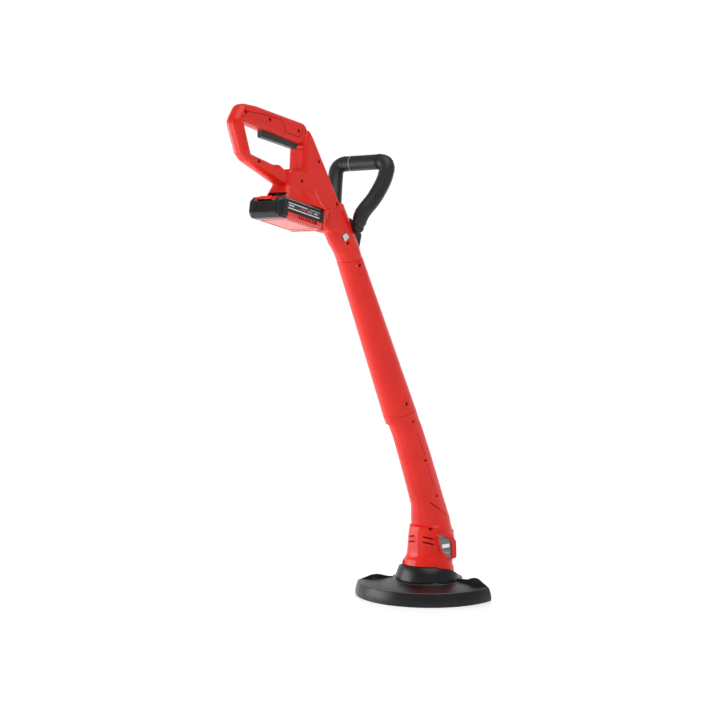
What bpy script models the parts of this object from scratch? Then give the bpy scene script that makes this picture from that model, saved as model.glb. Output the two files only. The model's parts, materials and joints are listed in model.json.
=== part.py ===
# Cordless string trimmer. Metres, +Z up. +X points away from the user, +Y to the user's left.
# The spindle axis is x = y = 0 and the guard's rim touches z = 0.
import math

import bmesh
import bpy
from mathutils import Matrix, Vector

GAP = 0.0003            # between neighbouring pieces
WALL = 0.0025           # moulded housings
SCREW_HEAD_R = 0.0027
SCREW_SHANK_R = 0.0014
SCREW_RECESS_R = 0.0033

# Handle housing, side view: (x, z, corner radius), counter-clockwise with x to the right.
GRIP_HALF_WIDTH = 0.0135
GRIP_EDGE = 0.0090
GRIP_OUTLINE = [
    (-0.3900, 0.8370, 0.014), (-0.5150, 0.8530, 0.040), (-0.5480, 0.8540, 0.016), (-0.5680, 0.8250, 0.016),
    (-0.5480, 0.7760, 0.016), (-0.5360, 0.7660, 0.016), (-0.4640, 0.7390, 0.012), (-0.4000, 0.7150, 0.010),
    (-0.3400, 0.7600, 0.010),
]
HAND_HOLE = [
    (-0.3980, 0.8005, 0.005), (-0.5460, 0.8250, 0.005), (-0.5290, 0.7780, 0.010), (-0.4700, 0.7650, 0.004),
    (-0.4560, 0.7660, 0.004), (-0.4440, 0.7600, 0.004), (-0.4010, 0.7600, 0.005),
]
BODY_HALF_WIDTH = 0.0185
BODY_EDGE = 0.0070
HOLE_STEP = 0.0002       # the body's rim of the hole stands this far inside the grip's
FRONT_TOP = (-0.3905, 0.8365)
FRONT_LOW = (-0.2580, 0.6500)

# Battery pack: its own frame, u forwards along the rails and v square to them.
PACK_REAR = (-0.4800, 0.6810)
PACK_TILT = math.radians(9.5)
PACK_LENGTH = 0.1040
PACK_HALF_WIDTH = 0.0350
DOCK_HALF_WIDTH = 0.0245
PACK_HEIGHT = 0.0340
PACK_SEAM = 0.0115
PACK_WALL = 0.0022
SEAT_GAP = 0.0006
STOP_GAP = 0.0010
PACK_HEEL = 0.0110       # the case reaches the bottom behind this, the tray ahead of it
RAIL_HALF_WIDTH = 0.0150
RAIL_LIP = 0.0035
RAIL_NECK = 0.0060
RAIL_HEIGHT = 0.0110
RAIL_START, RAIL_END = 0.0300, 0.0990
RAIL_CLEARANCE = 0.0005
PACK_TRAVEL = 0.1150
RELEASE_TRAVEL = 0.0025
CELL_RADIUS = 0.0091
CELL_LENGTH = 2 * (PACK_HALF_WIDTH - PACK_WALL - 0.0017)
CELL_COUNT = 5

# Shaft, from the handle's neck to the motor housing.
TUBE_TOP = (-0.2513, 0.6185)
TUBE_LOW = (-0.0963, 0.3465)
TUBE_TOP_R = 0.0225
TUBE_LOW_R = 0.0305
TUBE_WALL = 0.0024
TUBE_END_LEAN = math.radians(15)
SPIGOT = 0.0260
SPIGOT_CLEARANCE = 0.0005
TUBE_SIDES = 32
BOSS_TURN = math.radians(20)     # screw bosses, from the right side towards the rear
NECK_TOP_R = 0.0215

# Motor housing: (x, z, lean in degrees, half depth along x, half width along y).
HOUSING_STATIONS = [
    (-0.1080, 0.3680, 29.7, 0.0266, 0.0266), (-0.0690, 0.3080, 28.0, 0.0272, 0.0272),
    (-0.0400, 0.2530, 27.0, 0.0284, 0.0284), (-0.0150, 0.2020, 22.0, 0.0297, 0.0292),
    (0.0000, 0.1720, 12.0, 0.0310, 0.0300), (0.0095, 0.1420, 4.0, 0.0365, 0.0340),
    (0.0120, 0.1310, 1.0, 0.0372, 0.0352), (0.0100, 0.1275, 0.0, 0.0400, 0.0365),
    (0.0130, 0.1100, 0.0, 0.0450, 0.0395), (0.0145, 0.0820, 0.0, 0.0475, 0.0425),
    (0.0120, 0.0720, 0.0, 0.0470, 0.0430), (0.0040, 0.0665, 0.0, 0.0445, 0.0430),
    (0.0028, 0.0560, 0.0, 0.0452, 0.0440),
]

# Skirt over the collar's front: (radius, z) outside and inside. How low it hangs: (angle from the front, z).
SKIRT_OUTER = [(0.0460, 0.0630), (0.0468, 0.0590), (0.0480, 0.0550), (0.0500, 0.0493), (0.0505, 0.0437),
               (0.0502, 0.0340)]
SKIRT_INNER = [(0.0420, 0.0630), (0.0424, 0.0570), (0.0450, 0.0550), (0.0478, 0.0493), (0.0483, 0.0437),
               (0.0480, 0.0340)]
SKIRT_EDGE = [(0.0, 0.0340), (50.0, 0.0340), (66.0, 0.0370), (86.0, 0.0485), (128.0, 0.0552)]
SKIRT_GAP = 0.0009
SLEEVE_STEP = (-0.1130, 0.3245)      # the sleeve round the tube's seat ends here at the rear
SLEEVE_STEP_LEAN = math.radians(8)

# Label window: its middle (x, y), how far it turns to the rear, and outlines as (forward, z, corner radius).
WINDOW_CENTRE = (-0.0035, -0.0396)
WINDOW_TURN = 19.0
WINDOW = [(-0.0160, 0.1140, 0.003), (-0.0112, 0.0970, 0.008), (-0.0054, 0.0820, 0.008),
          (0.0100, 0.0690, 0.003), (0.0172, 0.0700, 0.003), (0.0150, 0.1010, 0.008), (-0.0040, 0.1130, 0.006)]
WINDOW_FRAME = [(-0.0200, 0.1180, 0.004), (-0.0150, 0.0960, 0.010), (-0.0090, 0.0790, 0.010),
                (0.0090, 0.0650, 0.004), (0.0280, 0.0680, 0.004), (0.0270, 0.1000, 0.010),
                (0.0100, 0.1160, 0.010)]
WINDOW_PROUD = 0.0018
WINDOW_FLOOR = -0.0010
LABEL_THICKNESS = 0.0008
VENT_FALL = 0.45        # drop of the cooling slots for each metre forwards

GUARD_RADIUS = 0.1350
GUARD_RIDGE_RADIUS = 0.1295
GUARD_RIDGE_Z = 0.0245
GUARD_WALL = 0.0030
GUARD_START, GUARD_END = 122.0, 272.0
EAR_THICKNESS = 0.0034
LEFT_EAR = [(0.0640, 0.0305), (0.0750, 0.0310), (0.0870, 0.0338), (0.0950, 0.0346), (0.1050, 0.0330),
            (0.1270, 0.0240)]
RIGHT_EAR = [(0.0640, 0.0335), (0.0860, 0.0340), (0.0960, 0.0378), (0.1030, 0.0386), (0.1090, 0.0370),
             (0.1275, 0.0245)]
COLLAR_FOOT_RADIUS = 0.0600
COLLAR_FOOT_Z = 0.0300
COLLAR_TOP_RADIUS = 0.0500
COLLAR_TOP_Z = 0.0550

# Front hand loop: pivot and middle of the cross grip (x, z), and the near arm's centre line as (y, x, z).
AUX_PIVOT = (-0.2600, 0.6750)
AUX_TOP = (-0.2120, 0.7872)
AUX_HALF_WIDTH = 0.0540
AUX_BEND = 0.0150
AUX_ARM = [(0.0220, -0.2600, 0.6750), (0.0300, -0.2565, 0.6970), (0.0420, -0.2385, 0.7230),
           (0.0510, -0.2235, 0.7520)]
AUX_RADIUS = 0.0132
AUX_HUB_RADIUS = 0.0115
AUX_HUB_INNER, AUX_HUB_OUTER = 0.0125, 0.0290
AUX_ARM_INNER = 0.0202
BOLT_RADIUS = 0.0030
BOLT_CLEARANCE = 0.0004
BOLT_TIP = -0.0250

TRIGGER_PIVOT = (-0.4060, 0.8140)
TRIGGER_OUTLINE = [(-0.4950, 0.8060, 0.0015), (-0.4065, 0.7945, 0.0020), (-0.4045, 0.8100, 0.0030),
                   (-0.4200, 0.8160, 0.0030), (-0.4930, 0.8215, 0.0010), (-0.4950, 0.8200, 0.0008)]
TRIGGER_SLOT = [(-0.4965, 0.7900), (-0.4035, 0.7900), (-0.4035, 0.8080), (-0.4965, 0.8240)]
SWITCH_OUTLINE = [(-0.4790, 0.8310, 0.001), (-0.4570, 0.8282, 0.001), (-0.4570, 0.8385, 0.001),
                  (-0.4790, 0.8415, 0.001)]
LOCK_SPOT = (-0.4500, 0.8400)
LOCK_RADIUS = 0.0048
TRIGGER_HALF_WIDTH = 0.0060
TRIGGER_TURN = 4.0

SPOOL_RADIUS = 0.0440
SPINDLE_RADIUS = 0.0040


def clear_scene():
    for obj in list(bpy.data.objects):
        bpy.data.objects.remove(obj, do_unlink=True)


def material(name, colour, roughness, metallic=0.0):
    made = bpy.data.materials.new(name)
    made.use_nodes = True
    shader = made.node_tree.nodes["Principled BSDF"]
    shader.inputs["Base Color"].default_value = (*colour, 1.0)
    shader.inputs["Roughness"].default_value = roughness
    shader.inputs["Metallic"].default_value = metallic
    made.diffuse_color = (*colour, 1.0)
    return made


def solid(name, rings, finish=None, looped=False):
    """A closed mesh through rings of points. Capped at both ends, or joined end to start when looped."""
    count = len(rings[0])
    verts = [tuple(point) for ring in rings for point in ring]
    faces = []
    for i in range(len(rings) if looped else len(rings) - 1):
        low, high = i * count, (i + 1) % len(rings) * count
        faces += [(low + k, low + (k + 1) % count, high + (k + 1) % count, high + k) for k in range(count)]
    if not looped:
        faces += [tuple(reversed(range(count))), tuple(range(len(verts) - count, len(verts)))]
    mesh = bpy.data.meshes.new(name)
    mesh.from_pydata(verts, [], faces)
    obj = bpy.data.objects.new(name, mesh)
    bpy.context.scene.collection.objects.link(obj)
    tidy(obj)
    if finish:
        mesh.materials.append(finish)
    return obj


def tidy(obj):
    shape = bmesh.new()
    shape.from_mesh(obj.data)
    bmesh.ops.remove_doubles(shape, verts=shape.verts, dist=1e-6)
    bmesh.ops.recalc_face_normals(shape, faces=shape.faces)
    if shape.calc_volume() < 0:
        bmesh.ops.reverse_faces(shape, faces=shape.faces)
    shape.to_mesh(obj.data)
    shape.free()


def boolean(target, other, operation, keep=False):
    change = target.modifiers.new(operation, "BOOLEAN")
    change.operation, change.solver, change.object = operation, "EXACT", other
    graph = bpy.context.evaluated_depsgraph_get()
    baked = bpy.data.meshes.new_from_object(target.evaluated_get(graph))
    target.modifiers.clear()
    target.data = baked
    if not keep:
        bpy.data.objects.remove(other, do_unlink=True)
    return target


def cut(target, *others):
    for other in others:
        boolean(target, other, "DIFFERENCE")
    return target


def join(target, *others):
    for other in others:
        boolean(target, other, "UNION")
    return target


def copy_of(obj, name):
    twin = bpy.data.objects.new(name, obj.data.copy())
    bpy.context.scene.collection.objects.link(twin)
    return twin


def paint(obj, finish):
    obj.data.materials.clear()
    obj.data.materials.append(finish)
    return obj


def set_origin(obj, point):
    """Moves the object's origin to its joint's axis and leaves the solid where it is."""
    obj.data.transform(Matrix.Translation(-Vector(point)))
    obj.location = point


def attach(children, parent):
    for child in children:
        child.parent = parent
        child.matrix_parent_inverse = Matrix.Translation(-parent.location)


def box(name, low, high, finish=None):
    (x0, y0, z0), (x1, y1, z1) = low, high
    return solid(name, [[(x0, y0, z), (x1, y0, z), (x1, y1, z), (x0, y1, z)] for z in (z0, z1)], finish)


def rod(name, start, end, radii, finish=None, sides=16, stops=(0.0, 1.0)):
    """A round bar from start to end, whose radius changes at the given shares of its length."""
    start, end = Vector(start), Vector(end)
    turn = (end - start).to_track_quat("Z", "Y")
    rings = []
    for stop, radius in zip(stops, radii):
        centre = start.lerp(end, stop)
        rings.append([centre + turn @ Vector((radius * math.cos(2 * math.pi * k / sides),
                                              radius * math.sin(2 * math.pi * k / sides), 0))
                      for k in range(sides)])
    return solid(name, rings, finish)


def revolve(name, profile, finish=None, sides=48, start=0.0, end=360.0):
    """Turns a closed (radius, z) profile about the spindle axis."""
    full = end - start >= 360
    steps = sides if full else sides + 1
    rings = []
    for k in range(steps):
        angle = math.radians(start + (end - start) * k / sides)
        rings.append([(r * math.cos(angle), r * math.sin(angle), z) for r, z in profile])
    return solid(name, rings, finish, looped=full)


def corner_loop(corners, inset=0.0, steps=4):
    """The outline, run counter-clockwise, with its corners turned into arcs and moved inwards by inset."""
    count = len(corners)
    points = [Vector(c[:2]) for c in corners]
    moved, turns = [], []
    for i in range(count):
        before = (points[i] - points[i - 1]).normalized()
        after = (points[(i + 1) % count] - points[i]).normalized()
        in_a, in_b = Vector((-before.y, before.x)), Vector((-after.y, after.x))
        moved.append(points[i] + (in_a + in_b) * inset / (1 + in_a.dot(in_b)))
        turns.append(math.atan2(before.x * after.y - before.y * after.x, before.dot(after)))
    loop = []
    for i in range(count):
        before, after = moved[i] - moved[i - 1], moved[(i + 1) % count] - moved[i]
        radius = max(corners[i][2] - math.copysign(inset, turns[i]), 0.0006)
        reach = min(radius * math.tan(abs(turns[i]) / 2), 0.45 * before.length, 0.45 * after.length)
        first, last = moved[i] - before.normalized() * reach, moved[i] + after.normalized() * reach
        for k in range(steps + 1):
            t = k / steps
            loop.append(first * (1 - t) ** 2 + moved[i] * 2 * t * (1 - t) + last * t ** 2)
    return loop


def pillow(name, corners, half_width, edge, inset=0.0, hole=False, layers=3, steps=4):
    """A side view given thickness along Y, with rounded edges. A hole flares where a body rounds."""
    def ring(y, drawn_in):
        drawn_in = -drawn_in if hole else drawn_in
        return [(p.x, y, p.y) for p in corner_loop(corners, drawn_in, steps)]

    levels = []
    for k in range(layers + 1):
        angle = 0.5 * math.pi * k / layers * (0.94 if k == layers else 1.0)
        levels.append((half_width - edge + edge * math.sin(angle), edge * (1 - math.cos(angle)) + inset))
    if hole:
        levels.append((half_width + 0.01, levels[-1][1]))
    rings = [ring(-y, e) for y, e in reversed(levels)] + [ring(y, e) for y, e in levels]
    return solid(name, rings)


def loft(name, stations, inset=0.0, sides=24, power=2.0, finish=None):
    """Rounded sections square to a lean in the side view: (x, z, lean in degrees, half depth, half width)."""
    rings = []
    for x, z, lean, half_depth, half_width in stations:
        lean = math.radians(lean)
        across = Vector((math.cos(lean), 0, math.sin(lean)))
        ring = []
        for k in range(sides):
            angle = 2 * math.pi * k / sides
            c, s = math.cos(angle), math.sin(angle)
            c, s = math.copysign(abs(c) ** (2 / power), c), math.copysign(abs(s) ** (2 / power), s)
            ring.append(Vector((x, 0, z)) + across * (half_depth - inset) * c
                        + Vector((0, (half_width - inset) * s, 0)))
        rings.append(ring)
    return solid(name, rings, finish)


def sweep(name, path, radii, finish=None, sides=14):
    """A tube of changing radius along a 3-D path, its frame carried along without twist."""
    rings = []
    side = Vector((1, 0, 0))
    for i, point in enumerate(path):
        along = (path[min(i + 1, len(path) - 1)] - path[max(i - 1, 0)]).normalized()
        side = (side - along * side.dot(along)).normalized()
        up = along.cross(side)
        rings.append([point + side * radii[i] * math.cos(2 * math.pi * k / sides)
                      + up * radii[i] * math.sin(2 * math.pi * k / sides) for k in range(sides)])
    return solid(name, rings, finish)


def leaning_cutter(name, point, lean, keep_above):
    """A big block whose one face passes through point, leaning in the side view."""
    size = 0.25
    along = Vector((math.sin(lean), 0, -math.cos(lean)))
    across = Vector((math.cos(lean), 0, math.sin(lean)))
    base = Vector((point[0], 0, point[1]))
    far = base + along * (size if keep_above else -size)
    rings = []
    for centre in (base, far):
        rings.append([centre + across * a * 0.12 + Vector((0, b * 0.12, 0))
                      for a, b in ((-1, -1), (1, -1), (1, 1), (-1, 1))])
    return solid(name, rings)


def shaft_point(distance, out=0.0):
    """A point on the shaft's axis, counted down from the tube's top, or out towards the screw bosses."""
    top, low = Vector((TUBE_TOP[0], 0, TUBE_TOP[1])), Vector((TUBE_LOW[0], 0, TUBE_LOW[1]))
    along = (low - top).normalized()
    rear = Vector((along.z, 0, -along.x))
    bosses = rear * math.sin(BOSS_TURN) - Vector((0, 1, 0)) * math.cos(BOSS_TURN)
    return top + along * distance + bosses * out


TUBE_LENGTH = (Vector(TUBE_LOW) - Vector(TUBE_TOP)).length
TUBE_LEAN = math.degrees(math.atan2(TUBE_LOW[0] - TUBE_TOP[0], TUBE_TOP[1] - TUBE_LOW[1]))


UPPER_SCREW, LOWER_SCREW = 0.0065, TUBE_LENGTH - 0.0260


def pack_point(u, v, y=0.0):
    """From the pack's own frame to the part's."""
    return Vector((PACK_REAR[0] + u * math.cos(PACK_TILT) + v * math.sin(PACK_TILT), y,
                   PACK_REAR[1] - u * math.sin(PACK_TILT) + v * math.cos(PACK_TILT)))


def pack_box(name, u, v, y, finish=None, chamfer=0.0):
    """A block in the pack's frame: ranges of u, v and y. chamfer cuts its four edges along u."""
    (u0, u1), (v0, v1), (y0, y1) = u, v, y
    if chamfer:
        c = chamfer
        section = [(y0 + c, v0), (y1 - c, v0), (y1, v0 + c), (y1, v1 - c),
                   (y1 - c, v1), (y0 + c, v1), (y0, v1 - c), (y0, v0 + c)]
    else:
        section = [(y0, v0), (y1, v0), (y1, v1), (y0, v1)]
    return solid(name, [[pack_point(s, b, a) for a, b in section] for s in (u0, u1)], finish)


def pack_loft(name, sections, v, half_width, chamfer):
    """A chamfered block in the pack's frame through (u, inset) sections."""
    rings = []
    for u, inset in sections:
        (v0, v1), w, c = (v[0] + inset, v[1] - inset), half_width - inset, chamfer
        section = [(c - w, v0), (w - c, v0), (w, v0 + c), (w, v1 - c),
                   (w - c, v1), (c - w, v1), (-w, v1 - c), (-w, v0 + c)]
        rings.append([pack_point(u, b, a) for a, b in section])
    return solid(name, rings)


def halves(shell, left_name, right_name, finish):
    """Splits a shell along the middle plane."""
    left = copy_of(shell, left_name)
    right = shell
    right.name = right_name
    cut(left, box("cut", (-0.7, -0.1, -0.1), (0.2, GAP / 2, 1.0)))
    cut(right, box("cut", (-0.7, -GAP / 2, -0.1), (0.2, 0.1, 1.0)))
    return paint(left, finish), paint(right, finish)


def screw_posts(spots, radius=0.0045):
    """One solid post across the housing for each screw."""
    return [rod("post", (x, -0.06, z), (x, 0.06, z), (radius, radius), sides=8) for x, z, _ in spots]


def drill_screws(right, left, spots):
    """Recess and clearance hole in the right half, pilot hole in the left one."""
    for x, z, depth in spots:
        cut(right, rod("cut", (x, -0.08, z), (x, -depth, z), (SCREW_RECESS_R, SCREW_RECESS_R), sides=8),
            rod("cut", (x, -0.08, z), (x, 0.01, z), (SCREW_SHANK_R + GAP,) * 2, sides=8))
        cut(left, rod("cut", (x, -0.01, z), (x, 0.0085, z), (SCREW_SHANK_R + GAP,) * 2, sides=8))


def screws(prefix, spots, finish):
    made = []
    for i, (x, z, depth) in enumerate(spots):
        length = depth + 0.0102
        radii = (SCREW_HEAD_R * 0.8, SCREW_HEAD_R, SCREW_HEAD_R, SCREW_SHANK_R, SCREW_SHANK_R, SCREW_SHANK_R * 0.5)
        stops = (0, 0.0007 / length, 0.0019 / length, 0.00195 / length, 0.93, 1)
        made.append(rod(f"{prefix}_{i + 1}", (x, -depth - 0.0022, z), (x, 0.0080, z), radii, finish, 6, stops))
    return made


# Screw places: (x, z, depth of the head's seat below the middle plane).
HANDLE_SCREWS = [(-0.5450, 0.8400, 0.0080), (-0.4860, 0.8340, 0.0080), (-0.4120, 0.8230, 0.0080),
                 (-0.5130, 0.7665, 0.0080), (-0.3640, 0.7770, 0.0120), (-0.4100, 0.7420, 0.0120),
                 (-0.3130, 0.7100, 0.0120), (-0.2830, 0.6460, 0.0120), (-0.3420, 0.6920, 0.0120)]
HOUSING_SCREWS = [(-0.0945, 0.3300, 0.0180), (-0.0500, 0.2560, 0.0190), (-0.0135, 0.1865, 0.0190),
                  (-0.0230, 0.1250, 0.0170)]


def body_outline():
    """The part of the housing ahead of the hand hole, down to the neck."""
    low_rear, low_front = pack_point(0.024, 0.0530), pack_point(0.1100, 0.0530)
    return [(*FRONT_LOW, 0.030), (*FRONT_TOP, 0.014), (-0.4040, 0.7900, 0.006), (-0.4400, 0.7560, 0.010),
            (low_rear.x, low_rear.z, 0.006),
            (low_front.x, low_front.z, 0.006), (-0.3300, 0.6640, 0.010), (-0.3020, 0.6600, 0.010),
            (-0.2900, 0.6380, 0.010)]


def dock_form():
    """The block that carries the pack's rails. Its sides slope in from the pack up to the body."""
    low, high = PACK_HEIGHT + SEAT_GAP, PACK_HEIGHT + 0.0255
    foot = [(0.0180, 0.0190), (0.0220, DOCK_HALF_WIDTH), (0.0600, DOCK_HALF_WIDTH + 0.0010),
            (0.0800, PACK_HALF_WIDTH), (0.1100, PACK_HALF_WIDTH - 0.0010), (0.1190, PACK_HALF_WIDTH - 0.0060)]
    head = [(0.0260, 0.0130), (0.0290, 0.0178), (0.0600, 0.0178),
            (0.0800, 0.0178), (0.1050, 0.0178), (0.1100, 0.0150)]
    rings = []
    for share in (0.0, 0.14, 1.0):
        side = [(a + (c - a) * share ** 1.3, b + (d - b) * share ** 1.3) for (a, b), (c, d) in zip(foot, head)]
        v = low + (high - low) * share
        rings.append([pack_point(u, v, y) for u, y in side]
                     + [pack_point(u, v, -y) for u, y in reversed(side)])
    return solid("dock", rings)


def stop_form():
    """The shoulder ahead of the pack: as wide as the pack there, narrowing into the neck."""
    rings = []
    for u, half, low, high in ((PACK_LENGTH + STOP_GAP, PACK_HALF_WIDTH, -0.0005, 0.0370),
                               (PACK_LENGTH + 0.0080, PACK_HALF_WIDTH - 0.0012, 0.0005, 0.0375),
                               (PACK_LENGTH + 0.0250, 0.0255, 0.0080, 0.0430),
                               (PACK_LENGTH + 0.0440, 0.0165, 0.0210, 0.0500)):
        c = 0.0050
        section = [(half - c, low), (half, low + c), (half, high - c), (half - c, high)]
        rings.append([pack_point(u, v, y) for y, v in section]
                     + [pack_point(u, v, -y) for y, v in reversed(section)])
    return solid("stop", rings)


def handle_solid(inset):
    """The handle housing's outer form, or its plainer cavity when inset is the wall."""
    layers, steps = (1, 1) if inset > 0 else (3, 3)

    def holed(name, corners, half_width, edge, spare):
        """A side view with the hand hole in it, whose rim rounds as its outline does."""
        half, rim = half_width - inset, edge - inset
        shape = pillow(name, corners, half, rim, inset, False, layers, steps)
        return cut(shape, pillow("hole", HAND_HOLE, half, rim, inset - spare, True, layers, steps))

    form = holed("handle", GRIP_OUTLINE, GRIP_HALF_WIDTH, GRIP_EDGE, 0.0)
    join(form, holed("body", body_outline(), BODY_HALF_WIDTH, BODY_EDGE, HOLE_STEP))
    if inset <= 0:
        join(form, dock_form(), stop_form())
    neck = [(-0.3050 + inset, 0.6990 - 1.5 * inset, TUBE_LEAN, 0.0300, 0.0180),
            (-0.2820, 0.6640, TUBE_LEAN, 0.0290, 0.0207)]
    for distance, radius in ((-0.020, NECK_TOP_R + 0.0010), (0.012, NECK_TOP_R - 0.0004)):
        p = shaft_point(distance)
        neck.append((p.x, p.z, TUBE_LEAN, radius, radius))
    return join(form, loft("neck", neck, inset))


def make_handle(finish):
    shell = handle_solid(0.0)
    cavity = handle_solid(WALL)
    seam = shaft_point(-0.0002)
    cut(shell, leaning_cutter("cut", (seam.x, seam.z), TUBE_END_LEAN, True))
    top, low = shaft_point(-0.012), shaft_point(SPIGOT - 0.001)
    radius = tube_radius(0.0) - TUBE_WALL - SPIGOT_CLEARANCE
    join(shell, rod("spigot", top, low, (radius, radius), sides=TUBE_SIDES))
    bore = radius - WALL
    join(cavity, rod("bore", shaft_point(-0.020), shaft_point(SPIGOT + 0.01), (bore, bore), sides=16))
    cut(cavity, *screw_posts(HANDLE_SCREWS), hub_boss())
    cut(shell, cavity)
    cut_dock(shell)
    cut_trigger_slot(shell)
    cut(shell, tube_screw_hole(UPPER_SCREW), bolt_hole(), *hub_recesses())
    x, z = LOCK_SPOT
    cut(shell, rod("cut", (x, 0.005, z), (x, 0.05, z), (LOCK_RADIUS + 0.0004,) * 2, sides=16))
    left, right = halves(shell, "handle_shell_left", "handle_shell_right", finish)
    drill_screws(right, left, HANDLE_SCREWS)
    return left, right


def hub_boss():
    """Solid material round the front loop's bolt."""
    x, z = AUX_PIVOT
    return rod("boss", (x, -0.06, z), (x, 0.06, z), (AUX_HUB_RADIUS + 0.0028,) * 2, sides=24)


def hub_recesses():
    """Round seats in both sides of the neck, where the loop's hubs turn."""
    x, z = AUX_PIVOT
    return [rod("cut", (x, side * (AUX_HUB_INNER - GAP), z), (x, side * 0.06, z),
                (AUX_HUB_RADIUS + 0.0005,) * 2, sides=16) for side in (-1, 1)]


def cut_dock(shell):
    """The T slot for the pack's rails, open to the rear, and the pocket for the terminals."""
    c = RAIL_CLEARANCE
    neck, lip = RAIL_HALF_WIDTH + c, RAIL_HALF_WIDTH + RAIL_LIP + c
    base, step, top = PACK_HEIGHT - 0.002, PACK_HEIGHT + RAIL_NECK - c, PACK_HEIGHT + RAIL_HEIGHT + c
    cut(shell, pack_box("cut", (-0.02, RAIL_END + 0.0008), (base, top), (-neck, neck)),
        pack_box("cut", (-0.02, RAIL_END + 0.0008), (step, top), (-lip, lip)),
        pack_box("cut", (0.0700, 0.0920), (top - 0.001, 0.0600), (-0.0125, 0.0125)))


def cut_trigger_slot(shell):
    half = TRIGGER_HALF_WIDTH + 0.0004
    cut(shell, solid("cut", [[(x, y, z) for x, z in TRIGGER_SLOT] for y in (-half, half)]))


def make_trigger(finish):
    trigger = paint(pillow("trigger", TRIGGER_OUTLINE, TRIGGER_HALF_WIDTH, 0.0012, layers=2, steps=2), finish)
    set_origin(trigger, (TRIGGER_PIVOT[0], 0, TRIGGER_PIVOT[1]))
    return trigger


def make_switch(finish):
    return paint(pillow("switch", SWITCH_OUTLINE, 0.0060, 0.0008, layers=1, steps=1), finish)


def make_lock_button(finish):
    x, z = LOCK_SPOT
    button = rod("lock_button", (x, 0.0085, z), (x, 0.0195, z),
                 (LOCK_RADIUS, LOCK_RADIUS, LOCK_RADIUS - 0.0008), finish, 16, (0.0, 0.93, 1.0))
    set_origin(button, (x, 0.0140, z))
    return button


def make_terminals(finish):
    top = PACK_HEIGHT + RAIL_HEIGHT + RAIL_CLEARANCE
    block = pack_box("dock_terminals", (0.0703, 0.0917), (top, 0.0580), (-0.0122, 0.0122))
    for y in (-0.008, 0.0, 0.008):
        join(block, pack_box("blade", (0.0740, 0.0880), (top - 0.0040, top + 0.002),
                             (y - 0.0006, y + 0.0006)))
    return paint(block, finish)


def make_pack(black, red, metal):
    """Battery pack: case with its rails, tray, cells and release button."""
    w, wall, seam, top = PACK_HALF_WIDTH - 0.0006, PACK_WALL, PACK_SEAM, PACK_HEIGHT
    sections = ((-0.0080, 0.0045), (0.0, 0.0), (PACK_LENGTH - 0.001, 0.0), (PACK_LENGTH, 0.001))
    case = pack_loft("pack_case", sections, (0, top), w, 0.0045)
    cut(case, pack_box("cut", (wall, PACK_LENGTH - wall), (wall, top - wall), (wall - w, w - wall)),
        pack_box("cut", (PACK_HEEL, PACK_LENGTH + 0.01), (-0.01, seam + GAP / 2), (-0.1, 0.1)))
    for y in (-1, 1):
        cut(case, pack_box("cut", (0.0060, PACK_LENGTH - 0.0060), (seam + 0.0035, top - 0.0060),
                           sorted((y * (w - 0.0005), y * (w + 0.01)))))
    for k in range(9):
        y = (k - 4) * 0.0062
        cut(case, pack_box("cut", (-0.02, -0.0072), (0.0075, top - 0.0105), (y - 0.0012, y + 0.0012)))
    neck, lip = RAIL_HALF_WIDTH, RAIL_HALF_WIDTH + RAIL_LIP
    tee = [(-neck, top - 0.001), (neck, top - 0.001), (neck, top + RAIL_NECK), (lip, top + RAIL_NECK),
           (lip, top + RAIL_HEIGHT), (-lip, top + RAIL_HEIGHT), (-lip, top + RAIL_NECK),
           (-neck, top + RAIL_NECK)]
    rails = solid("rails", [[pack_point(u, v, y) for y, v in tee] for u in (RAIL_START, RAIL_END)])
    for y in (-0.008, 0.0, 0.008):
        cut(rails, pack_box("cut", (0.0700, RAIL_END + 0.01), (top + RAIL_HEIGHT - 0.0046, top + 0.02),
                            (y - 0.0010, y + 0.0010)))
    join(case, rails)
    cut(case, pack_box("cut", (-0.01, 0.0105), (top - 0.0063 - RELEASE_TRAVEL, top + 0.01), (-0.0140, 0.0140)))
    paint(case, black)

    tray = pack_box("pack_tray", (PACK_HEEL + GAP, PACK_LENGTH - 0.0004), (0, 0.030),
                    (0.0004 - w, w - 0.0004), None, 0.0045)
    cut(tray, pack_box("cut", (-0.01, PACK_LENGTH - wall - 0.0004), (wall, 0.05),
                       (wall + 0.0004 - w, w - wall - 0.0004)),
        pack_box("cut", (-0.01, PACK_LENGTH + 0.01), (seam - GAP / 2, 0.05), (-0.1, 0.1)))
    for y in (-1, 1):
        for k in range(7):
            u = 0.0420 + 0.0060 * k
            join(tray, pack_box("rib", (u, u + 0.0024), (0.0058, seam - 0.0012),
                                sorted((y * (w - 0.0020), y * (w + 0.0006)))))
    paint(tray, red)

    button = pack_box("pack_release", (-0.0030, 0.0092), (top - 0.0055, top - 0.0004),
                      (-0.0136, 0.0136), red, 0.0012)
    set_origin(button, pack_point(0.003, top - 0.003))
    cells = []
    pitch = (PACK_LENGTH - 2 * PACK_WALL - 2 * CELL_RADIUS - 0.0024) / (CELL_COUNT - 1)
    for k in range(CELL_COUNT):
        u = PACK_WALL + 0.001 + CELL_RADIUS + k * pitch
        a, b = pack_point(u, 0.0140, -CELL_LENGTH / 2), pack_point(u, 0.0140, CELL_LENGTH / 2)
        r = CELL_RADIUS
        cells.append(rod(f"cell_{k + 1}", a, b, (r, r, 0.0030, 0.0030), metal, 12, (0, 0.985, 0.986, 1)))
    return case, tray, button, cells


def tube_radius(distance):
    """Outer radius of the tapering shaft tube."""
    return TUBE_TOP_R + (TUBE_LOW_R - TUBE_TOP_R) * distance / TUBE_LENGTH


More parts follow.
